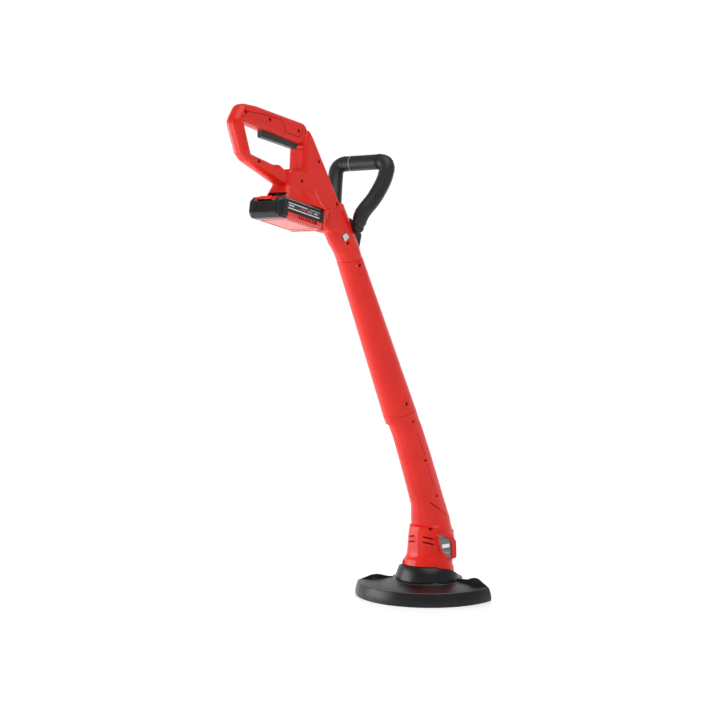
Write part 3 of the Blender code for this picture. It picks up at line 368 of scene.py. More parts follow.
def inkOver(nodes, links, share, below, ink):
    # Inputs 6 and 7 and output 2 are the colour sockets of a mix node.
    blend = nodes.new("ShaderNodeMix")
    blend.data_type = "RGBA"
    links.new(share, blend.inputs["Factor"])
    links.new(below, blend.inputs[6])
    blend.inputs[7].default_value = (*ink, 1)
    return blend.outputs[2]


def blockMask(nodes, links, across, up, block, soft=0.01):
    # One inside the rectangle (left, right, bottom, top) of the plate's own unit square, fading at its rim.
    left, right, bottom, top = block
    masks = []
    for value, low, high in ((across, left, right), (up, bottom, top)):
        middle, half = (low + high) / 2, (high - low) / 2
        away = arith(nodes, links, "ABSOLUTE", arith(nodes, links, "SUBTRACT", value, middle))
        masks.append(mapRange(nodes, links, away, half - soft, half + soft, 1.0, 0.0))
    return arith(nodes, links, "MULTIPLY", *masks)


def bumps(nodes, links, shader, layers):
    # Each layer is a height and how deep it goes in metres; they are chained one after another.
    before = None
    for height, depth in layers:
        bump = nodes.new("ShaderNodeBump")
        bump.inputs["Distance"].default_value = depth
        links.new(height, bump.inputs["Height"])
        if before:
            links.new(before, bump.inputs["Normal"])
        before = bump.outputs["Normal"]
    links.new(before, shader.inputs["Normal"])


# Moulded plastics: a light and a dark colour, a range of roughness, a gloss, and the grain's size and depth.
housingRed = {"light": (0.670, 0.0135, 0.0060), "dark": (0.620, 0.0105, 0.0042)}
fineGrain = {"grain": 1400.0, "grainDepth": 0.00002}
glossyBlack = {"rough": (0.27, 0.38), "gloss": 0.28, "grain": 1400.0, "grainDepth": 0.00004}
thinTrim = {"rough": (0.40, 0.50), "gloss": 0.50, **fineGrain}
plastics = {
    "redPlastic": {**housingRed, "rough": (0.24, 0.36), "gloss": 0.28, **fineGrain},
    "glossyRed": {**housingRed, "rough": (0.16, 0.22), "gloss": 0.80, **fineGrain, "grainDepth": 0.000004},
    # Dark red for moulded lines, the ground between ribs and the frame under the tray: the lines and the
    # frame are real, and their darkness is partly painted shade of grooves and recesses.
    "grooveShadeAndJointRed": {"light": (0.160, 0.003, 0.002), "dark": (0.112, 0.0021, 0.0014), "rough": (0.50, 0.60),
                  "gloss": 0.08, **fineGrain},
    "blackPlastic": {"light": (0.0085, 0.0088, 0.0092), "dark": (0.0050, 0.0052, 0.0056), **glossyBlack},
    "triggerPlastic": {"light": (0.0330, 0.0360, 0.0350), "dark": (0.0230, 0.0255, 0.0245), **glossyBlack},
    "gripRubber": {"light": (0.0130, 0.0134, 0.0138), "dark": (0.0080, 0.0082, 0.0085), "rough": (0.38, 0.52),
                   "gloss": 0.35, "grain": 900.0, "grainDepth": 0.00006},
    # A lighter grey for lines on the black guard: a painted highlight where its edges catch the light.
    "paintedHighlightGrey": {"light": (0.075, 0.076, 0.080), "dark": (0.050, 0.051, 0.054), **thinTrim,
                     "rough": (0.24, 0.34)},
    "paleSeam": {"light": (0.40, 0.42, 0.40), "dark": (0.40, 0.42, 0.40), **thinTrim},
    "rimSeal": {"light": (0.42, 0.47, 0.42), "dark": (0.42, 0.47, 0.42), **thinTrim},
    "lineNylon": {"light": (0.80, 0.30, 0.04), "dark": (0.70, 0.24, 0.03), "rough": (0.30, 0.40),
                  "gloss": 0.50, "grain": 900.0, "grainDepth": 0.00003},
}
plasticWear = {
    "driftScale": 14.0,         # slow change of colour
    "patchScale": 60.0,         # patches of gloss
    "scuffStretch": (40, 160, 420),
    "scuffRough": 0.03,
    "waveScale": 9.0,           # moulded walls are never quite flat
    "waveDepth": 0.0004,
}


def mouldedPlastic(name, look):
    # Colour drifts slowly, faint scuffs dull it in streaks, and a fine moulded grain stands in the bump.
    finish, nodes, links, shader = newFinish(name)
    spot = objectPlace(nodes)
    drift = noise(nodes, links, spot, plasticWear["driftScale"], 3.0)
    patches = noise(nodes, links, spot, plasticWear["patchScale"], 4.0, 0.6)
    streaks = noise(nodes, links, stretched(nodes, links, spot, plasticWear["scuffStretch"]), 1.0, 5.0, 0.7)
    scuffs = mapRange(nodes, links, streaks, 0.62, 0.80, 0.0, plasticWear["scuffRough"])
    grain = noise(nodes, links, spot, look["grain"])
    waves = noise(nodes, links, spot, plasticWear["waveScale"], 1.0)
    links.new(ramp(nodes, links, drift, 0.35, 0.65, look["dark"], look["light"]), shader.inputs["Base Color"])
    worn = arith(nodes, links, "ADD", mapRange(nodes, links, patches, 0.3, 0.7, *look["rough"]), scuffs)
    links.new(worn, shader.inputs["Roughness"])
    bumps(nodes, links, shader, [(waves, plasticWear["waveDepth"]), (grain, look["grainDepth"])])
    shader.inputs["Specular IOR Level"].default_value = look["gloss"]
    return finish


def floorFinish():
    finish, nodes, links, shader = newFinish("floorFinish")
    mottle = noise(nodes, links, objectPlace(nodes), 3.0)
    pale = studio["floorColour"]
    faint = tuple(0.995 * c for c in pale)
    links.new(ramp(nodes, links, mottle, 0.3, 0.7, pale, faint), shader.inputs["Base Color"])
    shader.inputs["Roughness"].default_value = studio["floorRough"]
    shader.inputs["Specular IOR Level"].default_value = studio["floorShine"]
    shader.inputs["Emission Color"].default_value = (1, 1, 1, 1)
    shader.inputs["Emission Strength"].default_value = studio["floorGlow"]
    return finish


# Metals: colour and least roughness.
metals = {
    # The screws are real; their near-black is painted shade, so that each reads as its dark recess.
    "recessShadeScrew": ((0.055, 0.053, 0.052), 0.38),
    "drawnSteel": ((0.55, 0.55, 0.56), 0.25),
    # The motor can is real; its near-black is painted shade inside the housing, so that the vent slots stay
    # dark.
    "motorCanShadeDark": ((0.050, 0.050, 0.052), 0.45),
}
metalWear = {
    "brushStretch": (900, 900, 60),
    "brushDepth": 0.00002,
    "brushRough": 0.18,
    "spotScale": 220.0,
    "spotShade": 0.72,
}


def steelFinish(name, colour, rough):
    # Drawn steel: long thin noise for the brushing, and slow spots of tarnish.
    finish, nodes, links, shader = newFinish(name)
    spot = objectPlace(nodes)
    brushed = noise(nodes, links, stretched(nodes, links, spot, metalWear["brushStretch"]), 1.0)
    spots = noise(nodes, links, spot, metalWear["spotScale"], 3.0)
    darker = tuple(metalWear["spotShade"] * c for c in colour)
    links.new(ramp(nodes, links, spots, 0.35, 0.6, darker, colour), shader.inputs["Base Color"])
    worn = mapRange(nodes, links, brushed, 0.3, 0.7, rough, rough + metalWear["brushRough"])
    links.new(worn, shader.inputs["Roughness"])
    bumps(nodes, links, shader, [(brushed, metalWear["brushDepth"])])
    shader.inputs["Metallic"].default_value = 1.0
    return finish


# Printed plates: blocks of plain colour in the plate's own unit square, no lettering.
prints = {
    "packLabel": {
        "ground": (0.016, 0.017, 0.018),
        "rough": 0.32,
        "metallic": 0.0,
        "blocks": [
            ((0.03, 0.60, 0.80, 0.93), (0.62, 0.60, 0.60)),
            ((0.66, 0.97, 0.80, 0.93), (0.30, 0.30, 0.31)),
            ((0.05, 0.20, 0.42, 0.62), (0.50, 0.50, 0.52)),
            ((0.40, 0.56, 0.40, 0.64), (0.42, 0.03, 0.03)),
            ((0.60, 0.74, 0.40, 0.64), (0.34, 0.16, 0.16)),
            ((0.80, 0.90, 0.42, 0.62), (0.40, 0.44, 0.52)),
            ((0.03, 0.97, 0.06, 0.20), (0.66, 0.64, 0.64)),
        ],
    },
    "motorPlate": {
        "ground": (0.17, 0.175, 0.18),
        "rough": 0.28,
        "metallic": 0.6,
        "blocks": [
            ((0.10, 0.90, 0.84, 0.88), (0.08, 0.08, 0.09)),
            ((0.32, 0.84, 0.44, 0.60), (0.78, 0.79, 0.80)),
            ((0.38, 0.86, 0.36, 0.39), (0.08, 0.08, 0.09)),
            ((0.50, 0.88, 0.20, 0.25), (0.32, 0.33, 0.34)),
        ],
    },
    "stickerFace": {
        "ground": (0.66, 0.66, 0.67),
        "rough": 0.40,
        "metallic": 0.0,
        "blocks": [
            ((0.22, 0.46, 0.20, 0.80), (0.50, 0.50, 0.52)),
            ((0.56, 0.78, 0.20, 0.80), (0.50, 0.50, 0.52)),
        ],
    },
}
inkDepth = 0.00002


def printedFinish(name, design):
    # The ground speckles a little, each block is laid over it, and the print stands proud by inkDepth.
    finish, nodes, links, shader = newFinish(name)
    unitSquare = nodes.new("ShaderNodeSeparateXYZ")
    links.new(nodes.new("ShaderNodeTexCoord").outputs["UV"], unitSquare.inputs[0])
    speckle = noise(nodes, links, objectPlace(nodes), 500.0, 3.0)
    darker = tuple(0.85 * c for c in design["ground"])
    colour = ramp(nodes, links, speckle, 0.3, 0.7, darker, design["ground"])
    printed = None
    for block, ink in design["blocks"]:
        mask = blockMask(nodes, links, unitSquare.outputs["X"], unitSquare.outputs["Y"], block)
        colour = inkOver(nodes, links, mask, colour, ink)
        printed = mask if printed is None else arith(nodes, links, "MAXIMUM", printed, mask)
    links.new(colour, shader.inputs["Base Color"])
    worn = mapRange(nodes, links, speckle, 0.3, 0.7, design["rough"], design["rough"] + 0.1)
    links.new(worn, shader.inputs["Roughness"])
    bumps(nodes, links, shader, [(printed, inkDepth)])
    shader.inputs["Metallic"].default_value = design["metallic"]
    return finish


def makeFinishes():
    made = {name: mouldedPlastic(name, look) for name, look in plastics.items()}
    made.update({name: steelFinish(name, *look) for name, look in metals.items()})
    made.update({name: printedFinish(name, design) for name, design in prints.items()})
    return made


# CAD shells are copied, merged and rounded along their edges; the copy stands for the node.
smoothing = {
    "mergeWithin": 2e-6,
    "flatWithin": 0.6,      # degrees: triangles this close to one plane become one face
    "sharpFrom": 34.0,      # degrees: an edge bent more than this stays sharp
}
edgeRound = {
    "handle_shell_left": 0.0006,
    "handle_shell_right": 0.0006,
    "shaft_tube": 0.0006,
    "motor_housing_left": 0.0005,
    "motor_housing_right": 0.0005,
    "collar": 0.0006,
    "guard": 0.0006,
    "pack_case": 0.0006,
    "pack_tray": 0.0004,
    "pack_release": 0.0005,
    "trigger": 0.0005,
    "aux_loop": 0.0004,
    "aux_saddle": 0.0004,
    "spool_drum": 0.0005,
    "lock_button": 0.0004,
}
# A node's own finish comes before its slot's.
finishOfSlot = {
    "red_housing": "redPlastic",
    "black_plastic": "blackPlastic",
    "steel": "drawnSteel",
    "label_plate": "motorPlate",
    "cutting_line": "lineNylon",
}
finishOfNode = {
    "trigger": "triggerPlastic",
    "aux_loop": "gripRubber",
    "motor_can": "motorCanShadeDark",
    "pack_tray": "glossyRed",
}


def smoothCopy(node, finish, width):
    source = frame["nodes"][node]
    mesh = source.data.copy()
    work = bmesh.new()
    work.from_mesh(mesh)
    bmesh.ops.remove_doubles(work, verts=work.verts, dist=smoothing["mergeWithin"])
    bmesh.ops.dissolve_limit(work, angle_limit=math.radians(smoothing["flatWithin"]), verts=work.verts,
                             edges=work.edges)
    work.to_mesh(mesh)
    work.free()
    mesh.shade_smooth()
    mesh.set_sharp_from_angle(angle=math.radians(smoothing["sharpFrom"]))
    piece = addObject(node + "_finished", mesh)
    rounding = piece.modifiers.new("edges", "BEVEL")
    rounding.width, rounding.segments, rounding.limit_method = width, 2, "ANGLE"
    rounding.angle_limit = math.radians(smoothing["sharpFrom"])
    rounding.use_clamp_overlap = True
    piece.modifiers.new("shading", "WEIGHTED_NORMAL").keep_sharp = True
    mesh.materials.clear()
    mesh.materials.append(finish)
    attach(piece, source["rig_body"])
    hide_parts(node)
    return piece


def dressNodes(finishes):
    slotOf = {part["node"]: part["material_slot"] for part in frame["record"]["subparts"]}
    for node, obj in frame["nodes"].items():
        finish = finishes[finishOfNode.get(node, finishOfSlot[slotOf[node]])]
        if node in edgeRound:
            smoothCopy(node, finish, edgeRound[node])
        else:
            obj.data.materials.clear()
            obj.data.materials.append(finish)


# Screws: a pan head with a six-lobed recess on a pointed shank, finished near-black as painted shade of the
# screw holes.
screw = {
    "headRadius": 0.0027,
    "headHeight": 0.0015,
    "recessRadius": 0.0014,
    "recessDepth": 0.0011,
    "lobeShare": 0.16,
    "shankRadius": 0.0013,
}


def makeScrews(finish):
    # The node's long axis is its points' main direction, and its head is the end where they lie farthest out.
    radius, tall, shank = screw["headRadius"], screw["headHeight"], screw["shankRadius"]
    recess, depth, lobe = screw["recessRadius"], screw["recessDepth"], screw["lobeShare"]
    for node in [name for name in frame["nodes"] if "screw" in name]:
        verts = np.unique(vertsOf(frame["nodes"][node].data).round(6), axis=0)
        centre = verts.mean(axis=0)
        axis = np.linalg.svd(verts - centre)[2][0]
        along = (verts - centre) @ axis
        aside = np.linalg.norm(verts - centre - along[:, None] * axis, axis=1)
        if along[aside.argmax()] > 0:
            axis, along = -axis, -along
        top, length = centre + axis * along.min(), along.max() - along.min()
        profile = [(0.0001, depth), (0.92 * recess, depth, lobe), (recess, 0.0, lobe), (1.08 * recess, 0.0),
                   (0.8 * radius, 0.0), (0.95 * radius, 0.25 * tall), (radius, 0.6 * tall), (radius, tall),
                   (shank, 1.1 * tall), (shank, 0.9 * length), (0.0002, length)]
        made = lathe(node + "_lobed", profile, top, axis, 36, 6, (True, True), True)
        place(made, finish, frame["nodes"][node]["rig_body"], "steel", node)


# Lines moulded into the housings: each outline is (x, z) on the right half, and both halves carry it. Most
# are dark beads, whose colour is painted shade in the groove.
thinOnHandle = {"on": "handle_shell", "finish": "grooveShadeAndJointRed", "width": 0.0010, "height": 0.00022}
thinOnNeck = {"on": "motor_housing", "finish": "grooveShadeAndJointRed", "width": 0.0011, "height": 0.00025}
housingLines = {
    "panelEdge": {
        **thinOnHandle,
        "outline": [(-0.5548, 0.8290), (-0.5470, 0.8350), (-0.5400, 0.8410), (-0.5113, 0.8409),
                    (-0.4864, 0.8392), (-0.4558, 0.8361), (-0.4494, 0.8273), (-0.4468, 0.8180),
                    (-0.4299, 0.8156), (-0.4141, 0.8130), (-0.4048, 0.8170), (-0.4010, 0.8238),
                    (-0.4034, 0.8310)],
    },
    "shortEdge": {**thinOnHandle, "outline": [(-0.4468, 0.8180), (-0.4485, 0.8150), (-0.4511, 0.8122)]},
    "frontArc": {**thinOnHandle, "outline": [(-0.3990, 0.8350), (-0.3945, 0.8270), (-0.3940, 0.8180)]},
    "longEdge": {
        **thinOnNeck,
        "outline": [(-0.0784, 0.3100), (-0.0685, 0.2928), (-0.0570, 0.2728), (-0.0520, 0.2640)],
    },
    "lowerEdge": {**thinOnNeck, "outline": [(-0.0462, 0.2500), (-0.0329, 0.2253), (-0.0180, 0.1960)]},
    "shortArc": {
        **thinOnNeck,
        "outline": [(-0.0261, 0.1747), (-0.0160, 0.1676), (-0.0043, 0.1596), (0.0100, 0.1500),
                    (0.0169, 0.1457)],
    },
    "bodyStep": {
        **thinOnHandle,
        "finish": "redPlastic",
        "outline": [(-0.3280, 0.6690), (-0.3110, 0.6655), (-0.2966, 0.6640), (-0.2860, 0.6650)],
    },
    "shoulderRidge": {
        "on": "handle_shell",
        "finish": "redPlastic",
        "width": 0.0030,
        "height": 0.0007,
        "outline": [(-0.3806, 0.7279), (-0.3767, 0.7116), (-0.3735, 0.7010)],
    },
    "facet": {
        "on": "handle_shell",
        "finish": "glossyRed",
        "width": 0.0055,
        "height": 0.0011,
        "outline": [(-0.3770, 0.7335), (-0.3725, 0.7270), (-0.3700, 0.7190), (-0.3708, 0.7085),
                    (-0.3700, 0.6995), (-0.3670, 0.6925)],
    },
    "deepArc": {
        **thinOnNeck,
        "width": 0.0021,
        "outline": [(-0.0270, 0.1752), (-0.0160, 0.1676), (-0.0035, 0.1590)],
    },
}


def lineOnSide(name, node, line, sign, finish, body, slot, soften=2):
    # An (x, z) outline thrown inwards onto one side of the node.
    route = [(x, 0, z) for x, z in line["outline"]]
    lineOn(name, node, route, line["width"], line["height"], finish, body, slot, (0, -sign, 0), soften)


def makeHousingLines(finishes):
    for name, line in housingLines.items():
        finish = finishes[line["finish"]]
        for side, sign in sides:
            lineOnSide(f"{name}_{side}", f"{line['on']}_{side}", line, sign, finish, "tool", "red_housing")


# A small bare sticker in a dark frame, on the right of the neck.
sticker = {
    "corners": [(-0.2981, 0.6586), (-0.2889, 0.6630), (-0.2809, 0.6559), (-0.2905, 0.6466)],
    "frame": 0.0011,
    "frameLift": 0.0003,
    "faceLift": 0.0005,
    "rimSink": 0.0004,
    "cells": 14,
}


def patchOn(name, node, lift, grow):
    # Sides are blended between four corners; y is a quadratic surface fitted to nine points of the node.
    cells = sticker["cells"]
    corners = np.array(sticker["corners"], dtype=float)
    middle = corners.mean(axis=0)
    corners = corners + grow * unit(corners - middle)

    def blendCorners(s, t):
        weights = np.stack([(1 - s) * (1 - t), s * (1 - t), s * t, (1 - s) * t], axis=-1)
        return weights @ corners

    def powers(spots):
        x, z = (spots - middle).T
        return np.stack([np.ones_like(x), x, z, x * x, x * z, z * z], axis=-1)

    probe = blendCorners(*(v.ravel() for v in np.meshgrid((0.1, 0.5, 0.9), (0.1, 0.5, 0.9))))
    hits = [surfaceOf(node).ray_cast(Vector((x, -rayStart, z)), Vector((0, 1, 0)))[0]
            for x, z in probe.tolist()]
    fit = np.linalg.lstsq(powers(probe), np.array([hit.y for hit in hits]), rcond=None)[0]
    s, t = np.meshgrid(np.linspace(0, 1, cells), np.linspace(0, 1, cells), indexing="ij")
    flat = blendCorners(s.ravel(), t.ravel())
    onRim = np.minimum(np.minimum(s, 1 - s), np.minimum(t, 1 - t)).ravel() < 1e-6
    y = powers(flat) @ fit - lift + (lift + sticker["rimSink"]) * onRim
    grid = np.stack([flat[:, 0], y, flat[:, 1]], axis=-1).reshape(cells, cells, 3)
    return gridPiece(name, grid, uv=np.stack([s, t], axis=-1), flip=True)


def makeSticker(finishes):
    node = "handle_shell_right"
    edge = patchOn("stickerFrame", node, sticker["frameLift"], sticker["frame"])
    place(edge, finishes["blackPlastic"], "tool", "black_plastic")
    face = patchOn("stickerFace", node, sticker["faceLift"], 0.0)
    place(face, finishes["stickerFace"], "tool", "label_plate")


# Battery pack, in its own frame: u forwards along the rails, v square to them.
pack = {
    "rear": (-0.4800, 0.6810),
    "tilt": 9.5,                # degrees nose down
    "length": 0.1040,
    "halfWidth": 0.0344,
    "height": 0.0340,
    "rearFace": -0.0080,
}
ribs = {
    "pitch": 0.0036,
    "depth": 0.0011,
    "count": 14,
    "foot": 0.0052,
    "top": 0.0238,
    "endFade": 0.0015,
    "bluntness": 0.7,
    "lift": 0.0001,
}
packFoot = {
    "centre": (-0.0020, 0.0030, 0.0262),
    "axis": (-0.7, -0.7, 0.0),
    "dome": [(0.0001, 0.0022), (0.0012, 0.0021), (0.0022, 0.0016), (0.0028, 0.0008), (0.0030, 0.0),
             (0.0030, -0.0015)],
}


def packPoint(u, v, y):
    tilt = math.radians(pack["tilt"])
    u, v, y = np.broadcast_arrays(u, v, y)
    return np.stack([pack["rear"][0] + u * math.cos(tilt) + v * math.sin(tilt), y,
                     pack["rear"][1] - u * math.sin(tilt) + v * math.cos(tilt)], axis=-1)


def packWay(u, v, y):
    return packPoint(u, v, y) - packPoint(0.0, 0.0, 0.0)


def makePackRibs(finish):
    # The rear face, over width and height: each rib is a squared sine, made blunter by a power, and fades at
    # its foot and top.
    half = ribs["count"] * ribs["pitch"] / 2
    y, v = np.meshgrid(np.linspace(-half, half, ribs["count"] * 10 + 1),
                       np.linspace(ribs["foot"], ribs["top"], 15), indexing="ij")
    wave = (0.5 - 0.5 * np.cos(2 * np.pi * (y + half) / ribs["pitch"])) ** ribs["bluntness"]
    inset = np.minimum(v - ribs["foot"], ribs["top"] - v) / ribs["endFade"]
    rise = ribs["depth"] * wave * np.sqrt(np.clip(inset, 0, 1))
    grid = packPoint(pack["rearFace"] - ribs["lift"] - rise, v, y)
    place(gridPiece("packRibs", grid, flip=True), finish, "battery_pack", "black_plastic")


def makePackFeet(finish):
    u, v, y = packFoot["centre"]
    for side, sign in sides:
        centre, axis = packPoint(u, v, sign * y), packWay(*packFoot["axis"])
        foot = lathe(f"packFoot_{side}", packFoot["dome"], centre, axis, 24, capEnds=(True, True), flip=True)
        place(foot, finish, "battery_pack", "black_plastic")


# Thin plates on both sides of the pack: the label, and the ground of the tray's ribs, darkened as painted
# shade between the ribs.
sidePlates = {
    "packLabel": {
        "start": 0.0075, "end": 0.0965, "foot": 0.0158, "top": 0.0272,
        "inset": 0.0006, "thick": 0.0004, "rim": 0.0006, "cells": (40, 14),
    },
    "ribGround": {
        "start": 0.0395, "end": 0.0885, "foot": 0.0054, "top": 0.0108,
        "inset": 0.0005, "thick": 0.0003, "rim": 0.0005, "cells": (24, 8),
    },
}


def makeSidePlates(name, finish, slot):
    # Each plate starts at its left end as seen from outside, so that it faces outwards.
    plate = sidePlates[name]
    for side, sign in sides:
        near, far = (plate["start"], plate["end"]) if sign < 0 else (plate["end"], plate["start"])
        corner = packPoint(near, plate["foot"], sign * (pack["halfWidth"] - plate["inset"]))
        across, upward = packWay(far - near, 0.0, 0.0), packWay(0.0, plate["top"] - plate["foot"], 0.0)
        made = slab(f"{name}_{side}", corner, across, upward, plate["thick"], plate["rim"], plate["cells"])
        place(made, finish, "battery_pack", slot)


# Beside and behind the release button. The wing's rows are (u, v) and the way it thickens.
wing = {
    "outer": 0.0220,
    "inner": 0.0137,
    "thick": 0.0005,
    "rows": [(-0.0077, 0.0262, -1.0, 0.0), (-0.0075, 0.0292, -0.9, 0.4), (-0.0072, 0.0296, -0.8, 0.6),
             (-0.0035, 0.0317, -0.5, 0.86), (-0.0003, 0.0336, -0.4, 0.9), (0.0010, 0.0341, -0.1, 1.0),
             (0.0070, 0.0342, 0.0, 1.0), (0.0100, 0.0342, 0.3, 0.9), (0.0104, 0.0338, 1.0, 0.0)],
}
cover = {
    "centre": (-0.0051, 0.03105),
    "half": (0.0023, 0.0131, 0.0025),
    "squareness": 0.22,
}


def makePackWings(finish):
    # Beside the button a bent sheet goes up the case's rear slope and over its top, rounded along its rims.
    across = np.linspace(0, 1, 9)
    rise = wing["thick"] * np.sqrt(1 - (2 * across - 1) ** 6)
    u, v, outU, outV = np.array(wing["rows"]).T[..., None]
    for side, sign in sides:
        y = sign * (wing["inner"] + (wing["outer"] - wing["inner"]) * across)
        grid = packPoint(u + outU * rise, v + outV * rise, y)
        made = gridPiece(f"packWing_{side}", grid, flip=sign > 0)
        place(made, finish, "battery_pack", "red_housing")


def makeReleaseCover(finish):
    # A superellipsoid: each coordinate is its half size times low powers of two angles' sines and cosines.
    rise, turn = np.meshgrid(np.linspace(-0.5, 0.5, 33)[1:-1] * np.pi, fullTurn(64), indexing="ij")

    def lowPower(wave):
        return np.sign(wave) * np.abs(wave) ** cover["squareness"]

    halfU, halfY, halfV = cover["half"]
    u = cover["centre"][0] + halfU * lowPower(np.cos(rise)) * lowPower(np.cos(turn))
    y = halfY * lowPower(np.cos(rise)) * lowPower(np.sin(turn))
    v = cover["centre"][1] + halfV * lowPower(np.sin(rise))
    made = gridPiece("releaseCover", packPoint(u, v, y), closeRound=True, capEnds=(True, True))
    place(made, finish, "pack_release", "red_housing")


# The pale rim along the case's upper edges, and the moulded frame under the tray.
seams = {
    "rimStart": 0.0040,
    "rimToFront": 0.0060,
    "rimDown": 0.0020,
    "rimIn": 0.0024,
    "rimWidth": 0.0012,
    "frameStart": 0.0190,
    "frameToFront": 0.0120,
    "frameIn": 0.0085,
    "frameWidth": 0.0014,
    "height": 0.0003,
}


def straightBead(name, start, end, outwards, width):
    # A bead from one (u, v, y) of the pack to another.
    start, end = np.array(start), np.array(end)
    points = packPoint(*(start + (end - start) * np.linspace(0.0, 1.0, 30)[:, None]).T)
    normals = np.repeat(unit(packWay(*outwards))[None], len(points), axis=0)
    return bead(name, points, normals, width, seams["height"])


def makePackSeams(finishes):
    start, end = seams["rimStart"], pack["length"] - seams["rimToFront"]
    top, half = pack["height"] - seams["rimDown"], pack["halfWidth"] - seams["rimIn"]
    for side, sign in sides:
        rim = straightBead(f"packRim_{side}", (start, top, sign * half), (end, top, sign * half),
                           (0.0, 0.7, sign * 0.7), seams["rimWidth"])
        place(rim, finishes["rimSeal"], "battery_pack", "label_plate")
    start, end = seams["frameStart"], pack["length"] - seams["frameToFront"]
    half = pack["halfWidth"] - seams["frameIn"]
    corners = [(start, 0.0, -half), (end, 0.0, -half), (end, 0.0, half), (start, 0.0, half)]
    for k, corner in enumerate(corners):
        edge = straightBead(f"trayFrame_{k + 1}", corner, corners[(k + 1) % 4], (0.0, -1.0, 0.0),
                            seams["frameWidth"])
        place(edge, finishes["grooveShadeAndJointRed"], "battery_pack", "red_housing")


# Front loop: rings round the cross grip and a mould line along each arm.
loop = {
    "top": (-0.2120, 0.7872),
    "radius": 0.0132,
    "ringWidth": 0.0009,
    "paleRing": 0.0220,         # y, as are the next two
    "ribRings": (-0.0330, -0.0350, -0.0370),
    "faintRing": 0.0370,
    "paleHeight": 0.00025,
    "ringHeight": 0.0004,
}
armLine = {
    "width": 0.0008,
    "height": 0.0003,
    "outline": [(-0.2560, 0.6990), (-0.2470, 0.7120), (-0.2385, 0.7230), (-0.2300, 0.7380), (-0.2235, 0.7520),
                (-0.2170, 0.7700)],
}


def makeLoopDetails(finishes):
    x, z = loop["top"]
    rubber = finishes["gripRubber"]
    rings = [("loopPaleRing", loop["paleRing"], loop["paleHeight"], finishes["paleSeam"])]
    rings += [(f"loopRing_{k + 1}", y, loop["ringHeight"], rubber)
              for k, y in enumerate((*loop["ribRings"], loop["faintRing"]))]
    for name, y, height, finish in rings:
        made = ring(name, (x, y, z), (0, 1, 0), loop["radius"], loop["ringWidth"], height)
        place(made, finish, "aux_handle", "black_plastic")
    for side, sign in sides:
        lineOnSide(f"loopMouldLine_{side}", "aux_loop", armLine, sign, rubber, "aux_handle",
                   "black_plastic", soften=3)


# Label plate in the motor housing's window.
window = {
    "centre": (-0.0035, -0.0396),
    "turn": 19.0,               # degrees to the rear
    "out": 0.0002,              # from the centre's plane, outwards
    "outline": [(-0.0160, 0.1140), (-0.0112, 0.0970), (-0.0054, 0.0820), (0.0100, 0.0690), (0.0172, 0.0700),
                (0.0150, 0.1010), (-0.0040, 0.1130)],
    "endGap": 0.0008,
    "sideGap": 0.0009,
    "leastWidth": 0.0004,
    "cells": (24, 16),
}


def makeMotorPlate(finish):
    # The window's left and right edges at each height, drawn in by a gap, and the plate blended between them.
    turn = math.radians(window["turn"])
    outline = np.array(window["outline"])
    left, right = outline[[3, 2, 1, 0]], outline[[3, 4, 5, 6, 0]]
    low, high = outline[:, 1].min() + window["endGap"], outline[:, 1].max() - window["endGap"]
    t, s = np.meshgrid(*(np.linspace(0, 1, count) for count in window["cells"]), indexing="ij")
    height = low + (high - low) * t
    start = np.interp(height, left[:, 1], left[:, 0]) + window["sideGap"]
    end = np.interp(height, right[:, 1], right[:, 0]) - window["sideGap"]
    forward = start + (np.maximum(end, start + window["leastWidth"]) - start) * s
    x = window["centre"][0] + forward * math.cos(turn) - window["out"] * math.sin(turn)
    y = window["centre"][1] - forward * math.sin(turn) - window["out"] * math.cos(turn)
    first, last = outline[:, 0].min(), outline[:, 0].max()
    uv = np.stack([(forward - first) / (last - first), t], axis=-1)
    made = gridPiece("motorPlateFace", np.stack([x, y, height], axis=-1), uv=uv, flip=True)
    place(made, finish, "tool", "label_plate", "motor_label")


# A small dark peg on the front right of the motor housing.
peg = {
    "foot": (0.0389, -0.0324, 0.1149),
    "axis": (0.45, -0.85, 0.28),
    "radius": 0.0019,
    "height": 0.0012,
}


def makePeg(finish):
    r, h = peg["radius"], peg["height"]
    dome = [(0.0001, h), (0.7 * r, h), (0.92 * r, 0.85 * h), (r, 0.6 * h), (r, -h)]
    made = lathe("housingPeg", dome, peg["foot"], peg["axis"], 24, capEnds=(True, True), flip=True)
    place(made, finish, "tool", "black_plastic")


# Guard, seen from above: angles in degrees round the spindle, beads as their width and height, and rings
# as their radius, width and height.
guard = {
    "start": 122.0,
    "end": 272.0,
    "lineShort": 4.0,
    "rings": {"guardStepLine": (0.0735, 0.0016, 0.0004), "guardRidgeLine": (0.1285, 0.0012, 0.0003)},
    "leftCrest": [(0.0640, 0.0305), (0.0750, 0.0310), (0.0870, 0.0338), (0.0950, 0.0346), (0.1050, 0.0330),
                  (0.1270, 0.0240)],
    "rightCrest": [(0.0640, 0.0335), (0.0860, 0.0340), (0.0960, 0.0378), (0.1030, 0.0386), (0.1090, 0.0370),
                   (0.1275, 0.0245)],
    "crestBead": (0.0014, 0.0004),
    "notch": (-0.0480, -0.0427),
    "notchArm": 0.0110,
    "notchWays": ((-0.8, -0.6), (0.35, -0.94)),
    "notchBead": (0.0016, 0.0005),
    "slot": [(-0.0446, 0.0690), (-0.0500, 0.0765), (-0.0550, 0.0830)],
    "slotBead": (0.0040, 0.0003),
    "slotRimOut": 1.04,
    "slotRimBead": (0.0014, 0.0004),
}


def markOnGuard(name, route, widthAndHeight, finish, step=0.0012):
    # An (x, y) route thrown straight down onto the guard.
    lineOn(name, "guard", [(x, y, 0.0) for x, y in route], *widthAndHeight, finish, "tool", "black_plastic",
           (0, 0, -1), 0, step)


